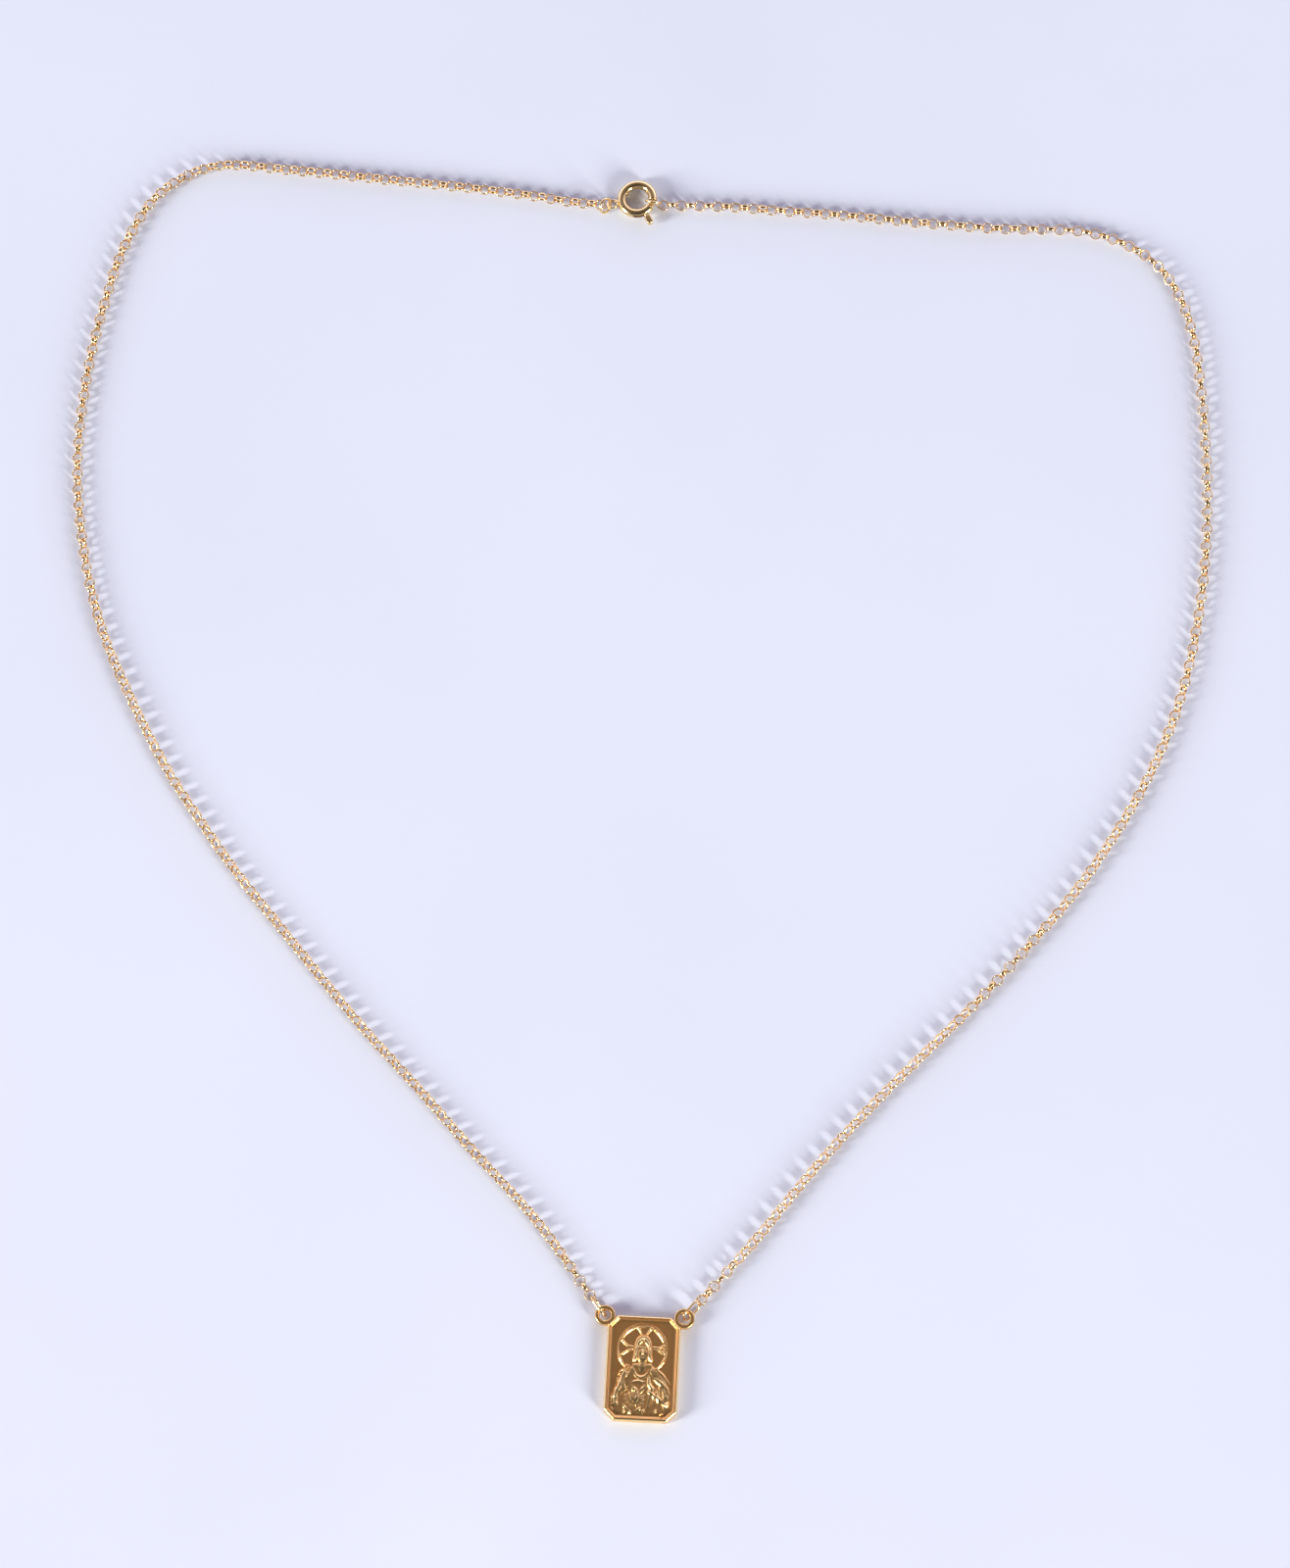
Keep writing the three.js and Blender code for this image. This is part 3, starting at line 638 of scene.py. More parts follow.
robe = [
    (-0.5, 0.75), (-1.2, 0.3), (-1.75, -0.35), (-2.3, -1.7), (-2.9, -1.5), (-3.3, -2.8), (-3.95, -3.5),
    (-4.1, -6.1), (4.1, -6.1), (4.1, -3.3), (3.6, -1.95), (2.75, -0.75), (1.7, 0.15), (0.6, 0.75),
]
# chest and neck under the robe, sleeve end and hem over it: sizes of the dome, then how softly it joins
bodyForms = [(((-0.1, -3.2), (2.2, 3.3), 0.20, 0.8), 0.1), (((0.0, 0.3), (0.62, 1.0), 0.34, 0.9), 0.06)]
hemForms = [(((3.32, -4.6), (0.34, 0.56), 0.58, 0.8, -38.0), 0.08), (((2.74, -5.95), (0.22, 0.18), 0.44), 0.05)]
# (points, half widths, heights) of the arms under the robe, then of the folds over it
limbs = [
    ([(1.2, -0.2), (2.4, -1.5), (3.05, -3.1), (3.15, -5.0)], (0.6, 0.75, 0.65, 0.5), (0.24, 0.34, 0.36, 0.28)),
    ([(3.0, -4.4), (1.9, -3.7), (0.95, -3.0)], (0.5, 0.45, 0.3), (0.34, 0.38, 0.34)),
    ([(-1.2, -0.2), (-2.1, -1.5), (-3.0, -3.0), (-3.5, -4.8)], (0.5, 0.65, 0.6, 0.5), (0.22, 0.30, 0.34, 0.28)),
    ([(-3.3, -3.7), (-2.8, -2.3), (-2.45, -1.3)], (0.45, 0.42, 0.34), (0.38, 0.42, 0.42)),
    ([(-0.95, 0.35), (-0.1, 0.15), (0.95, 0.35)], (0.4, 0.45, 0.4), (0.2, 0.26, 0.2)),
]
cloth = {"base": 0.12, "edge": 0.5, "height": 0.86, "width": 2.0, "under": 0.35, "soft": 0.1, "pleats": 0.03}
folds = [
    (
        [(-1.25, 0.1), (-1.0, -0.5), (-0.72, -0.98), (-0.2, -1.2), (0.3, -1.05), (0.72, -0.6), (0.95, 0.05)],
        (0.13, 0.16, 0.13), (0.34, 0.40, 0.34),
    ),
    (
        [(-1.35, -1.95), (-0.9, -1.7), (-0.4, -1.62), (0.1, -1.76), (0.55, -1.72)],
        (0.10, 0.13, 0.1), (0.33, 0.38, 0.34),
    ),
    ([(-1.4, -2.15), (-0.91, -2.73), (-0.45, -3.28)], (0.20, 0.17), (0.47, 0.44)),
    ([(0.62, -2.05), (0.21, -2.62), (-0.22, -3.14)], (0.18, 0.16), (0.47, 0.44)),
    ([(-2.66, -3.3), (-2.15, -2.79), (-1.5, -2.34)], (0.15, 0.12), (0.42, 0.38)),
    (
        [(0.75, -0.75), (0.92, -1.2), (0.91, -1.92), (1.36, -2.6), (1.2, -3.5), (1.08, -4.4), (0.7, -5.3)],
        (0.13, 0.2, 0.13), (0.42, 0.48, 0.34),
    ),
    ([(1.08, -1.12), (1.93, -1.48), (2.78, -2.1), (3.45, -2.62)], (0.15, 0.2, 0.14), (0.42, 0.46, 0.34)),
    ([(1.75, 0.1), (2.72, -0.8), (3.6, -1.97)], (0.12, 0.12), (0.30, 0.30)),
    ([(1.3, 0.2), (1.25, -0.4), (1.5, -0.95)], (0.14, 0.1), (0.38, 0.32)),
    ([(1.75, -2.5), (1.95, -3.1), (2.2, -3.9), (2.34, -4.95)], (0.15, 0.12), (0.42, 0.34)),
    ([(2.3, -2.35), (2.5, -3.36), (2.36, -4.5)], (0.12, 0.09), (0.42, 0.34)),
    ([(2.85, -2.6), (3.0, -3.6), (2.9, -4.3)], (0.14, 0.1), (0.40, 0.32)),
    ([(1.55, -2.9), (1.62, -3.8), (1.5, -4.9)], (0.10, 0.08), (0.34, 0.30)),
    (
        [(-3.0, -1.45), (-2.75, -2.2), (-3.2, -2.9), (-3.3, -3.65), (-2.95, -4.55)],
        (0.2, 0.17, 0.14), (0.44, 0.42, 0.34),
    ),
    ([(-2.35, -1.75), (-2.2, -2.5), (-2.75, -3.6)], (0.12, 0.1), (0.38, 0.33)),
    ([(-3.98, -3.7), (-3.86, -4.1), (-3.7, -4.5)], (0.17, 0.13), (0.46, 0.38)),
    ([(-3.35, -4.15), (-3.15, -4.6), (-2.92, -5.0)], (0.16, 0.15), (0.48, 0.44)),
    ([(-3.8, -4.9), (-3.75, -5.4), (-3.45, -5.75)], (0.12, 0.12), (0.36, 0.36)),
    ([(-2.3, -4.8), (-2.0, -5.15), (-1.65, -5.5)], (0.16, 0.12), (0.44, 0.38)),
    ([(-2.2, -5.95), (-2.1, -5.6), (-1.85, -5.35)], (0.10, 0.08), (0.38, 0.34)),
    ([(-1.45, -5.3), (-1.35, -5.75), (-1.4, -6.1)], (0.11, 0.08), (0.36, 0.32)),
    ([(-0.62, -5.6), (-0.2, -5.3), (0.25, -5.0)], (0.14, 0.1), (0.42, 0.36)),
    ([(0.2, -5.9), (0.35, -5.5), (0.72, -5.3)], (0.10, 0.08), (0.36, 0.32)),
    ([(2.05, -5.15), (1.95, -5.5), (1.75, -5.9)], (0.10, 0.08), (0.37, 0.33)),
    ([(3.2, -3.1), (3.35, -3.7), (3.3, -4.1)], (0.12, 0.1), (0.38, 0.34)),
]
heart = {
    "centre": (-0.8, -3.95), "rays": 26, "inner": 0.62, "outer": (1.18, 1.42), "squash": 0.92,
    "ray": ((0.10, 0.07), (0.13, 0.07)), "lobe": ((0.42, 0.54), 0.22), "lobeAt": (0.24, 0.1), "lobeTurn": -24.0,
    "point": ((0.42, 0.14), (0.22, 0.14)), "flame": ((0.16, 0.08), (0.2, 0.12)), "soft": 0.08,
}
hand = [
    ([(-2.45, -1.55), (-2.4, -1.0), (-2.2, -0.6)], (0.34, 0.42, 0.36), (0.40, 0.44, 0.42)),
    ([(-2.2, -0.55), (-1.95, -0.1), (-1.72, 0.3)], (0.15, 0.13), (0.46, 0.40)),
    ([(-2.38, -0.5), (-2.2, 0.0), (-2.02, 0.42)], (0.14, 0.12), (0.46, 0.40)),
    ([(-2.9, -0.85), (-2.75, -0.45), (-2.5, -0.25)], (0.15, 0.12), (0.42, 0.38)),
    ([(-2.0, -1.1), (-1.85, -0.75), (-1.72, -0.5)], (0.15, 0.11), (0.44, 0.38)),
]


def haloHeight(x, y):
    centre, radii = halo["outer"]
    away = np.hypot((x - centre[0]) / radii[0], (y - centre[1]) / radii[1])
    h = halo["disc"] * np.clip((1.0 - away) / halo["discEdge"], 0.0, 1.0)
    h = blend(h, ridge(x, y, arcPoints(centre, radii, 0, 360, 96), *halo["thin"]))
    for start, end in halo["strong"]:
        h = blend(h, ridge(x, y, arcPoints(centre, radii, start, end), *halo["bold"]))
    for start, end in halo["arcs"]:
        h = blend(h, ridge(x, y, arcPoints(*halo["inner"], start, end), *halo["arc"]))
    for line in crossLines:
        h = blend(h, ridge(x, y, line, *halo["cross"]))
    return h


def robeHeight(x, y):
    h = plateau(x, y, robe, cloth["base"], cloth["edge"])
    for sizes, soft in bodyForms:
        h = blend(h, dome(x, y, *sizes), soft)
    for sizes in limbs:
        h = blend(h, ridge(x, y, *sizes), 0.12)
    lower = np.clip(h / 0.15, 0, 1) * np.clip((-y - 1.2) / 1.5, 0, 1)
    h = h + cloth["pleats"] * lower * np.sin(x * 9.0 + y * 1.6 + 0.8 * np.sin(y * 2.3))
    # the folds lie side by side as rounded rolls with narrow valleys between them
    rolls = np.zeros_like(x)
    for points, widths, heights in folds:
        wide = [cloth["width"] * w for w in (0.6 * widths[0], *widths, 0.6 * widths[-1])]
        tall = [cloth["height"] * v for v in (0.35 * heights[0], *heights, 0.3 * heights[-1])]
        rolls = blend(rolls, ridge(x, y, points, wide, tall, power=1.0), cloth["soft"])
    h = blend(h + cloth["under"] * rolls, rolls, cloth["soft"])
    for sizes, soft in hemForms:
        h = blend(h, dome(x, y, *sizes), soft)
    return h


def heartHeight(x, y):
    cx, cy = heart["centre"]
    h = np.zeros_like(x)
    for i in range(heart["rays"]):
        angle = 2 * math.pi * (i + 0.5) / heart["rays"]
        ux, uy = math.cos(angle), heart["squash"] * math.sin(angle)
        ends = [(cx + r * ux, cy + r * uy) for r in (heart["inner"], heart["outer"][i % 2])]
        h = np.maximum(h, ridge(x, y, ends, *heart["ray"]))
    for side in (-1, 1):
        centre = (cx + side * heart["lobeAt"][0], cy + heart["lobeAt"][1])
        h = blend(h, dome(x, y, centre, *heart["lobe"], turn=side * heart["lobeTurn"]), heart["soft"])
    h = blend(h, ridge(x, y, [(cx, cy - 0.1), (cx, cy - 0.62)], *heart["point"]), heart["soft"])
    return blend(h, ridge(x, y, [(cx - 0.05, cy + 0.5), (cx + 0.02, cy + 0.9)], *heart["flame"]))


hair = {"height": 0.40, "edge": 0.45, "strand": 0.055, "opening": (0.68, 1.45), "openingAt": 2.0}
hairSide = [
    (0.5, 4.42), (0.88, 4.05), (1.08, 3.45), (1.16, 2.7), (1.2, 1.9), (1.36, 1.15), (1.16, 0.78),
    (0.84, 0.95), (0.5, 1.6),
]


def hairHeight(x, y):
    right = [(0.0, 4.52), *hairSide]
    left = [(-px, py) for px, py in reversed(hairSide)]
    h = plateau(x, y, [*right, *left], hair["height"], hair["edge"])
    # strands leave the parting and run down beside the face
    bend = x + 0.06 * np.sin(y * 4.3) * np.clip(3.2 - y, 0.0, 1.0)
    across = np.hypot(bend / 1.15, np.clip(y - 2.6, 0.0, None) / 1.9)
    strands = np.sin(across * 30.0 + 0.7 * np.sin(y * 2.9))
    strands = strands + 0.45 * np.sin(across * 53.0 + 1.5 * np.sin(y * 3.7))
    h = h + hair["strand"] * strands * np.clip(h / 0.3, 0, 1)
    parting = np.clip(1 - np.abs(x) / 0.07, 0, 1) * np.clip((y - 3.55) * 4, 0, 1)
    h = h - 0.1 * parting * np.clip(h / 0.2, 0, 1)
    opening = np.hypot(x / hair["opening"][0], (y - hair["openingAt"]) / hair["opening"][1])
    return h * np.clip((opening - 0.95) / 0.12, 0, 1)


# (1 raised or -1 sunk, form, its sizes): brow, eye socket, lid, line under the lid, cheek, moustache
sideForms = [
    (1, ridge, [(0.58, 2.66), (0.36, 2.80), (0.12, 2.72)], (0.09, 0.13, 0.10), (0.03, 0.06, 0.05), 1.1),
    (-1, dome, (0.34, 2.50), (0.26, 0.18), 0.14, 1.2),
    (1, dome, (0.34, 2.47), (0.18, 0.11), 0.11, 0.8),
    (-1, ridge, [(0.18, 2.46), (0.5, 2.47)], (0.035,), (0.035,), 1.0),
    (1, dome, (0.44, 2.05), (0.26, 0.34), 0.05, 1.2),
    (1, ridge, [(0.0, 1.68), (0.2, 1.63), (0.42, 1.46)], (0.08, 0.10, 0.06), (0.05, 0.06, 0.02), 1.0),
]
# nose, line of the mouth, lower lip
middleForms = [
    (1, ridge, [(0.0, 2.72), (0.0, 2.30), (0.0, 1.93)], (0.09, 0.12, 0.17), (0.05, 0.12, 0.16), 1.1),
    (-1, ridge, [(-0.19, 1.50), (0.19, 1.50)], (0.045,), (0.05,), 1.0),
    (1, ridge, [(-0.14, 1.40), (0.14, 1.40)], (0.07,), (0.05,), 1.0),
]


def faceHeight(x, y):
    h = dome(x, y, (0.0, 2.1), (0.80, 1.52), 0.38, power=0.6)
    mask = np.clip(h / 0.25, 0, 1)
    for sign, form, *sizes in sideForms:
        h = h + sign * mask * (form(x, y, *sizes) + form(-x, y, *sizes))
    for sign, form, *sizes in middleForms:
        h = h + sign * mask * form(x, y, *sizes)
    beard = dome(x, y, (0.0, 1.16), (0.58, 0.46), 0.08, power=0.9)
    return h + mask * beard * (1 + 0.3 * np.sin(x * 34.0) * np.clip((1.45 - y) * 2, 0, 1))


def softened(values, cells, rounds=3):
    for _ in range(rounds):
        for axis in (0, 1):
            padded = np.pad(values, [(cells, cells) if a == axis else (0, 0) for a in (0, 1)], mode="edge")
            total = np.cumsum(padded, axis=axis)
            total = np.insert(total, 0, 0.0, axis=axis)
            high = np.take(total, range(2 * cells + 1, total.shape[axis]), axis=axis)
            low = np.take(total, range(0, total.shape[axis] - 2 * cells - 1), axis=axis)
            values = (high - low) / (2 * cells + 1)
    return values


relief = {
    "cell": 0.04, "seed": 5, "cap": 0.57, "share": 0.66, "edge": 0.16, "gap": 0.03, "calm": 0.85,
    "fine": (0.008, 2), "broad": (0.016, 5), "hammered": 0.004, "hollow": 5, "polishAndPaintedShade": (0.10, 0.50, 10.0),
}


def reliefGrid():
    cell = relief["cell"]
    reachX = medal["width"] / 2 - medal["slabInset"]
    reachY = medal["height"] / 2 - medal["slabInset"]
    columns, rows = math.ceil(reachX / cell), math.ceil(reachY / cell)
    across, along = np.arange(-columns, columns + 1) * cell, np.arange(-rows, rows + 1) * cell
    x, y = np.meshgrid(across, along, indexing="ij")
    h = haloHeight(x, y)
    h = blend(h, robeHeight(x, y), 0.06)
    h = h + heartHeight(x, y)
    for form in hand:
        h = blend(h, ridge(x, y, *form), 0.06)
    h = blend(h, hairHeight(x, y), 0.05)
    face = faceHeight(x, y)
    calm = 1 - relief["calm"] * np.clip(face / 0.1, 0, 1)
    h = blend(h, face, 0.04)
    # casting softens every form and leaves it slightly uneven
    dice = np.random.default_rng(relief["seed"])
    lumps = np.zeros_like(x)
    for height, cells in (relief["fine"], relief["broad"]):
        uneven = softened(dice.standard_normal(x.shape), cells, 2)
        lumps = lumps + height * uneven / uneven.std()
    h = softened(h + lumps * np.clip(h / 0.12, 0, 1) * calm, 1, 1)
    # the field is faintly hammered and the relief dies out at the rim
    h = h + relief["hammered"] * np.sin(x * 9.0 + 2.0 * np.sin(y * 4.0)) * np.sin(y * 11.0)
    reach = medal["width"] / 2 + medal["height"] / 2 - medal["cut"] - medal["slabInset"] * math.sqrt(2)
    toCut = (reach - np.abs(x) - np.abs(y)) / math.sqrt(2)
    margin = np.minimum(np.minimum(reachX - np.abs(x), reachY - np.abs(y)), toCut)
    fade = np.clip((margin - relief["gap"]) / relief["edge"], 0.0, 1.0)
    h = np.clip(h, 0.0, relief["cap"]) * relief["share"] * fade
    # small hollows and the low field get a darker, duller gold, crests and raised relief a lighter, glossier
    # one: partly the cast's own patina and rubbed high points, partly painted shade in the hollows and painted
    # light on the raised relief
    local = h - softened(h, relief["hollow"])
    flat, raised, crest = relief["polishAndPaintedShade"]
    polishAndPaintedShade = np.clip(flat + raised * np.clip(h / 0.2, 0, 1) + crest * local, 0.0, 1.0)
    return x, y, h, polishAndPaintedShade, margin


def makeSlab():
    x, y, h, polishAndPaintedShade, margin = reliefGrid()
    columns, rows = x.shape
    corners = [margin[:-1, :-1], margin[1:, :-1], margin[:-1, 1:], margin[1:, 1:]]
    keep = np.minimum.reduce(corners) >= -relief["gap"]
    number = np.full(x.shape, -1)
    used = np.zeros(x.shape, bool)
    for a in (0, 1):
        for b in (0, 1):
            used[a:columns - 1 + a, b:rows - 1 + b] |= keep
    number[used] = np.arange(used.sum())
    top = medal["field"] + medal["slabSkin"]
    points = [Vector((px, py, top + ph)) for px, py, ph in zip(x[used], y[used], h[used])]
    paintedShadeAndPolish = list(polishAndPaintedShade[used])
    i, j = np.nonzero(keep)
    quads = np.stack([number[i, j], number[i + 1, j], number[i + 1, j + 1], number[i, j + 1]], 1)
    faces = [tuple(int(v) for v in q) for q in quads]
    # the open edge is followed round and joined to a flat root inside the plate
    edges = {(a, b) for face in faces for a, b in zip(face, face[1:] + face[:1])}
    nextOf = {a: b for a, b in edges if (b, a) not in edges}
    start = next(iter(nextOf))
    loop = [start]
    while nextOf[loop[-1]] != start:
        loop.append(nextOf[loop[-1]])
    base = len(points)
    points += [Vector((points[v].x, points[v].y, medal["slabRoot"])) for v in loop]
    paintedShadeAndPolish += [medal["slabPolishAndPaintedShade"]] * len(loop)
    for k in range(len(loop)):
        after = (k + 1) % len(loop)
        faces.append((loop[after], loop[k], base + k, base + after))
    faces.append(tuple(reversed(range(base, base + len(loop)))))
    return points, faces, paintedShadeAndPolish


def earProfile():
    middle = (ears["across"] + ears["hole"]) / 4
    half = (ears["across"] - ears["hole"]) / 4
    tall = ears["thickness"] / 2
    bend = ears["round"]
    profile = []
    for k, (sx, sz) in enumerate(((1, 1), (-1, 1), (-1, -1), (1, -1))):
        for i in range(5):
            bent = polar(bend, 90 * k + 90 * i / 4)
            profile.append((middle + sx * (half - bend) + bent.x, sz * (tall - bend) + bent.y))
    return profile


def makeEar(side):
    points = []
    centre = Vector((side * ears["at"][0], ears["at"][1], ears["height"]))
    profile = earProfile()
    for i in range(ears["stations"]):
        heading = 360 * i / ears["stations"]
        points += [centre + polar(radius, heading, height) for radius, height in profile]
    return points, ringFaces(ears["stations"], len(profile))


def makeEarNeck(side):
    # a soldered bridge, flared where it meets the plate
    wide, tall = ears["neck"]
    sides, power = ears["neckSides"], ears["neckPower"]
    out = Vector((side, 1.0)).normalized()
    across = Vector((-out.y, out.x))
    root = Vector((side * ears["at"][0], ears["at"][1])) - out * ears["across"] / 2
    points = []
    for step, flare in ((-0.3, 1.2), (-0.1, 1.15), (0.0, 1.0), (0.12, 0.92), (0.3, 0.9)):
        for i in range(sides):
            angle = 2 * math.pi * i / sides
            u = math.copysign(abs(math.cos(angle)) ** power, math.cos(angle)) * wide / 2 * flare
            v = math.copysign(abs(math.sin(angle)) ** power, math.sin(angle)) * tall / 2 * flare
            at = root + out * step + across * u
            points.append(Vector((at.x, at.y, ears["height"] + v)))
    return capped(points, sides)


def makeMedal():
    outline = []
    polishAndPaintedShade = []
    for inset, height, paintedShadeAndPolish in plateLevels:
        level = [Vector((p.x, p.y, height)) for p in plateOutline(inset)]
        outline += level
        polishAndPaintedShade += [paintedShadeAndPolish] * len(level)
    parts = [(*capped(outline, len(level)), polishAndPaintedShade), makeSlab()]
    for side in (-1, 1):
        for points, faces in (makeEar(side), makeEarNeck(side)):
            parts.append((points, faces, [ears["polishAndPaintedShade"]] * len(points)))
    names = ("plate", "slab", "earLeft", "neckLeft", "earRight", "neckRight")
    pieces = []
    for name, (points, faces, paintedShadeAndPolish) in zip(names, parts):
        piece = meshPiece(name, spin(points, medal["turn"], medal["place"]), faces, medalGold)
        # the polish values colour the gold, with painted shade and painted light among them
        attribute = piece.data.attributes.new("polishAndPaintedShade", "FLOAT", "POINT")
        attribute.data.foreach_set("value", np.array(paintedShadeAndPolish, np.float32))
        turnOutward(piece)
        piece.data.set_sharp_from_angle(angle=math.radians(180 if name == "slab" else medal["sharp"]))
        pieces.append(piece)
    whole = joinPieces("cast_medal", pieces)
    finishPiece(whole, "necklace", "medal_gold", "medal")
    print("stage: medal made,", len(whole.data.polygons), "faces")


makeMedal()

# spring ring clasp: hollow tube with its gate, slot and bail, and the bolt with its trigger
clasp = {
    "outer": 5.45, "tube": 1.2, "wall": 0.15, "lean": 6.0, "place": (-0.66, 82.72),
    "gateStart": -36.0, "gateEnd": -8.0, "bore": 14.0, "edge": 0.05, "overcut": 4.0,
    "bailOuter": 1.8, "bailWire": 0.3, "bailSunk": 0.05, "bailHeading": 190.0, "bailLean": 22.0, "solder": 0.26,
    "trigger": -63.0, "travel": 32.0, "neck": 0.44, "clearance": 0.08,
    "boltGap": 0.1, "boltTip": -4.0, "boltBack": -75.0, "boltRound": 0.12,
    "ringSteps": 132, "ringSides": 28, "mouthSteps": 12, "boreSteps": 48, "boreSides": 24, "slotSteps": 24,
    "boltSteps": 64, "boltSides": 20,
}
claspRadius = (clasp["outer"] - clasp["tube"]) / 2 * mm
tubeRadius = clasp["tube"] / 2 * mm


def claspFrame():
    lean = math.radians(clasp["lean"])
    height = claspRadius * math.sin(lean) + tubeRadius
    place = Matrix.Translation((clasp["place"][0] * mm, clasp["place"][1] * mm, height))
    return place @ Matrix.Rotation(-lean, 4, "Y")


def claspSolid(name, points, sides):
    piece = meshPiece(name, *capped(points, sides), claspGold)
    turnOutward(piece)
    return piece


def arcSolid(name, start, end, profile, steps, sides):
    points = []
    for i in range(steps + 1):
        heading = start + (end - start) * i / steps
        out = polar(1.0, heading)
        radius = profile(heading)
        for j in range(sides):
            around = 2 * math.pi * j / sides
            rise = Vector((0, 0, math.sin(around) * radius))
            points.append(out * (claspRadius + math.cos(around) * radius) + rise)
    return claspSolid(name, points, sides)


def cutWith(piece, cutters):
    for cutter in cutters:
        modifier = piece.modifiers.new("cut", "BOOLEAN")
        modifier.operation = "DIFFERENCE"
        modifier.solver = "EXACT"
        modifier.object = cutter
    seen = piece.evaluated_get(bpy.context.evaluated_depsgraph_get())
    mesh = bpy.data.meshes.new_from_object(seen)
    piece.modifiers.clear()
    piece.data = mesh
    for cutter in cutters:
        bpy.data.objects.remove(cutter)


def slotCutter():
    half = (clasp["neck"] / 2 + clasp["clearance"]) * mm
    turn = math.degrees(half / claspRadius)
    low = clasp["trigger"] - clasp["travel"] - turn
    high = clasp["trigger"] + turn
    inner, outer = claspRadius, claspRadius + 2 * tubeRadius
    points = []
    for i in range(clasp["slotSteps"] + 1):
        heading = low + (high - low) * i / clasp["slotSteps"]
        for radius, height in ((inner, -half), (outer, -half), (outer, half), (inner, half)):
            points.append(polar(radius, heading, height))
    return claspSolid("slotCutter", points, 4)


def makeClaspRing():
    start = clasp["gateEnd"]
    end = 360.0 + clasp["gateStart"]
    edge = clasp["edge"] * mm
    boreRadius = tubeRadius - clasp["wall"] * mm

    def tubeProfile(heading):
        # the tube's mouths are rounded over
        depth = math.radians(min(heading - start, end - heading)) * claspRadius
        return tubeRadius - edge * max(0.0, 1.0 - depth / edge) ** 2

    def boreCutter(name, first, last, steps):
        return arcSolid(name, first, last, lambda heading: boreRadius, steps, clasp["boreSides"])

    shell = arcSolid("clasp_tube", start, end, tubeProfile, clasp["ringSteps"], clasp["ringSides"])
    back = clasp["boltBack"] - clasp["travel"] - clasp["bore"]
    overcut = clasp["overcut"]
    cutWith(shell, [
        boreCutter("mouthCutter", start - overcut, start + clasp["bore"], clasp["mouthSteps"]),
        boreCutter("boreCutter", back, clasp["gateStart"] + overcut, clasp["boreSteps"]),
        slotCutter(),
    ])
    outer, heading = clasp["outer"] / 2 * mm, clasp["bailHeading"]
    bailRadius = (clasp["bailOuter"] - clasp["bailWire"]) / 2 * mm
    centre = polar(outer + bailRadius - clasp["bailSunk"] * mm, heading)
    size = clasp["bailOuter"] * mm
    points, faces = wireLoop(size, size, clasp["bailWire"] * mm, stations=48, sides=12)
    bail = meshPiece("bail", moved(points, leaning(centre, heading, clasp["bailLean"])), faces, claspGold)
    solder = solderBlob(polar(outer, heading), clasp["solder"] * mm)
    piece = joinPieces("clasp_tube", [shell, bail, solder])
    piece.data.transform(claspFrame())
    finishPiece(piece, "necklace", "clasp_gold", "clasp_ring")


def solderBlob(centre, radius):
    points = []
    rows, sides = 8, 16
    for i in range(1, rows):
        height = math.cos(math.pi * i / rows)
        around = math.sin(math.pi * i / rows)
        for j in range(sides):
            points.append(centre + polar(around, 360 * j / sides, height) * radius)
    faces = ringFaces(rows - 1, sides, closed=False)
    top, bottom = len(points), len(points) + 1
    points += [centre + Vector((0, 0, radius)), centre - Vector((0, 0, radius))]
    for j in range(sides):
        after = (j + 1) % sides
        faces.append((top, j, after))
        faces.append((bottom, (rows - 2) * sides + after, (rows - 2) * sides + j))
    blob = meshPiece("solder", points, faces, claspGold)
    turnOutward(blob)
    return blob


trigger = {
    "start": 0.1, "length": 1.45, "shoulder": 0.36, "width": 0.92, "thickness": 0.84, "bevel": 0.2,
    "flare": 0.08, "tipSteps": 16, "bevelSteps": 6,
}


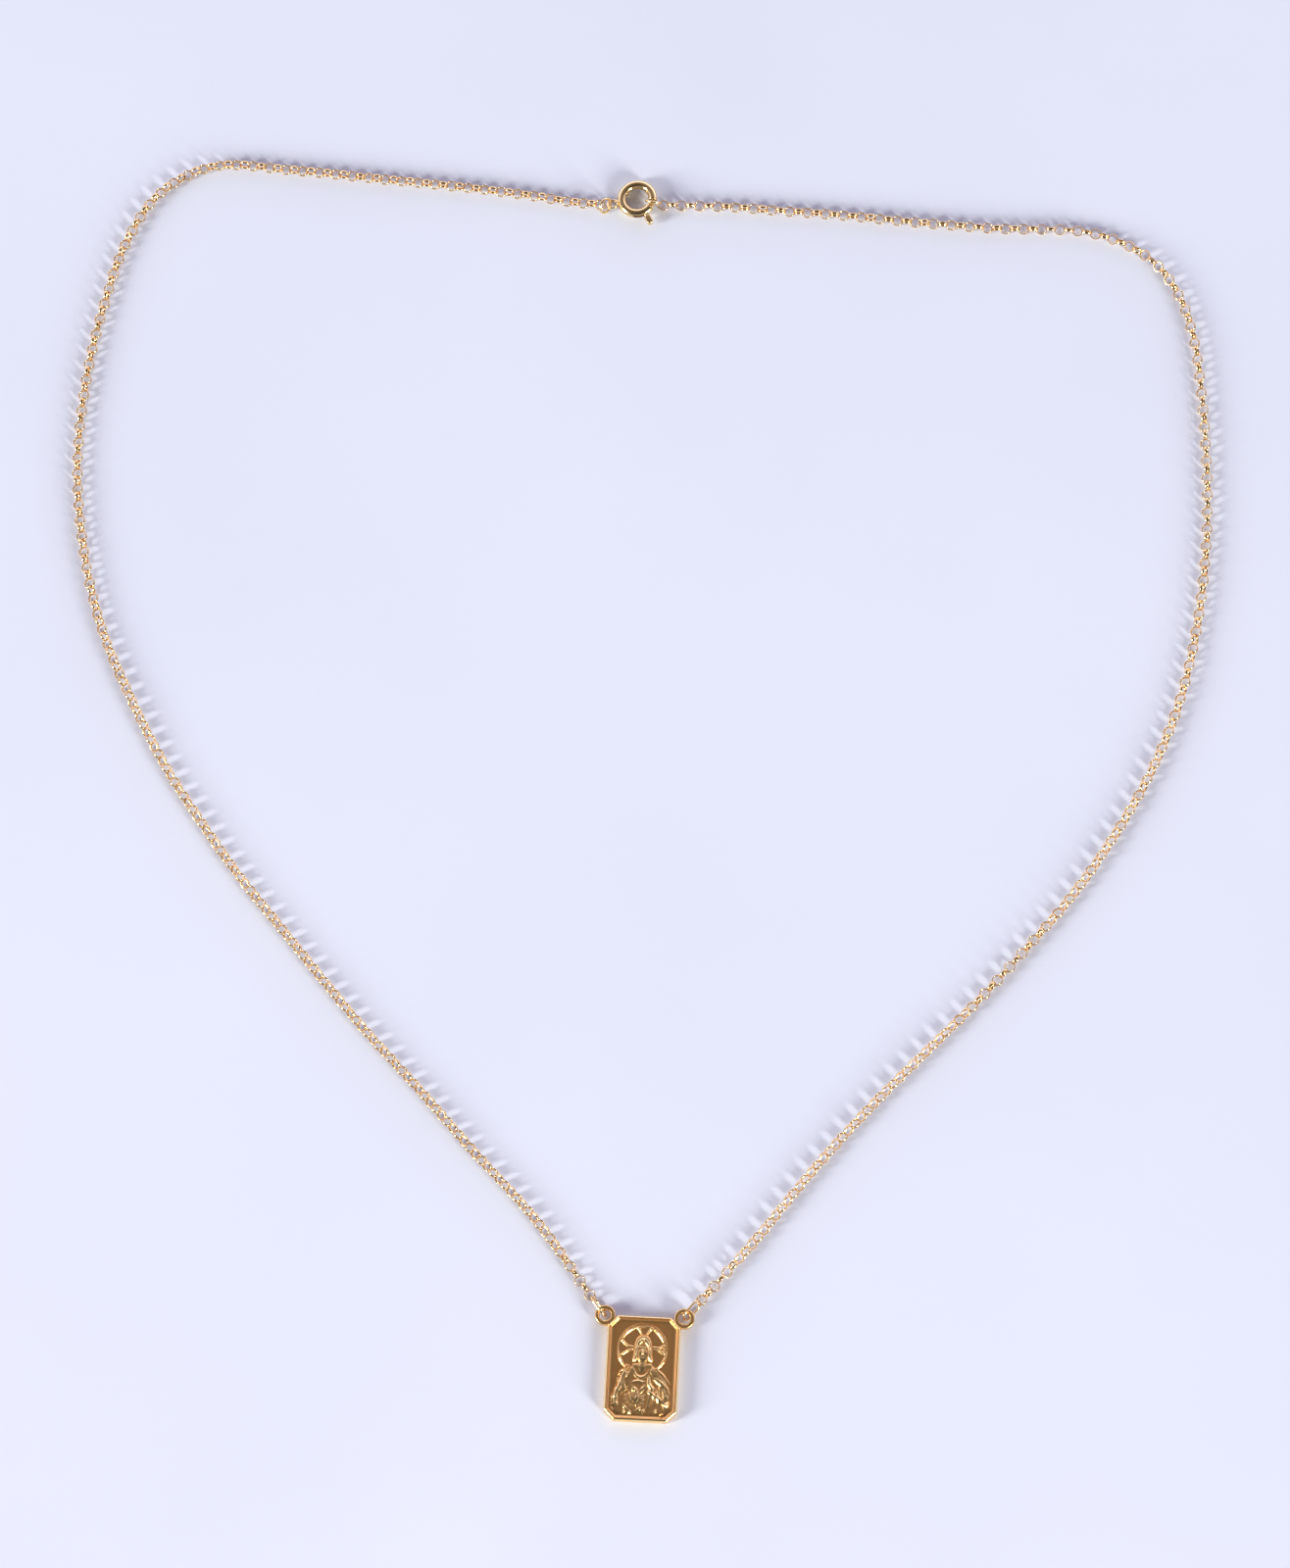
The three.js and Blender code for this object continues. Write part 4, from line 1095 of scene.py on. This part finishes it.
def bladeOutline(inset):
    start = clasp["outer"] / 2 + trigger["start"]
    shoulder = start + trigger["shoulder"]
    middle = start + trigger["length"] - trigger["width"] / 2
    half = trigger["width"] / 2 - inset
    neck = clasp["neck"] / 2 + trigger["flare"] - inset
    outline = [(start + inset, -neck), (shoulder, -half)]
    for i in range(trigger["tipSteps"] + 1):
        tip = polar(half, -90 + 180 * i / trigger["tipSteps"])
        outline.append((middle + tip.x, tip.y))
    return [*outline, (shoulder, half), (start + inset, neck)]


def makeTrigger():
    points = []
    bevel, steps = trigger["bevel"], trigger["bevelSteps"]
    for side in (-1, 1):
        for i in range(steps + 1):
            turn = math.pi / 2 * (i / steps if side < 0 else 1 - i / steps)
            outline = bladeOutline(bevel * (1 - math.sin(turn)))
            height = side * (trigger["thickness"] / 2 - bevel * (1 - math.cos(turn)))
            points += [Vector((x, y, height)) * mm for x, y in outline]
    blade = claspSolid("blade", points, len(outline))
    half = clasp["neck"] / 2 * mm
    reach = (clasp["outer"] / 2 + trigger["start"] + trigger["shoulder"]) * mm
    corners = ((-half, -half), (half, -half), (half, half), (-half, half))
    neck = claspSolid("neck", [Vector((x, y, z)) for x in (claspRadius, reach) for y, z in corners], 4)
    for part in (blade, neck):
        part.data.transform(Matrix.Rotation(math.radians(clasp["trigger"]), 4, "Z"))
    boltRadius = tubeRadius - (clasp["wall"] + clasp["boltGap"]) * mm
    back, tip, end = clasp["boltBack"], clasp["boltTip"], clasp["boltRound"] * mm

    def boltProfile(heading):
        # both ends of the bolt are rounded
        depth = math.radians(min(heading - back, tip - heading)) * claspRadius
        return boltRadius - end + math.sqrt(max(end ** 2 - max(end - depth, 0.0) ** 2, 0.0))

    bolt = arcSolid("bolt", back, tip, boltProfile, clasp["boltSteps"], clasp["boltSides"])
    piece = joinPieces("clasp_bolt", [bolt, neck, blade])
    piece.data.transform(claspFrame())
    finishPiece(piece, "lever", "clasp_gold", "clasp_lever")


makeClaspRing()
makeTrigger()
print("stage: spring ring clasp made")
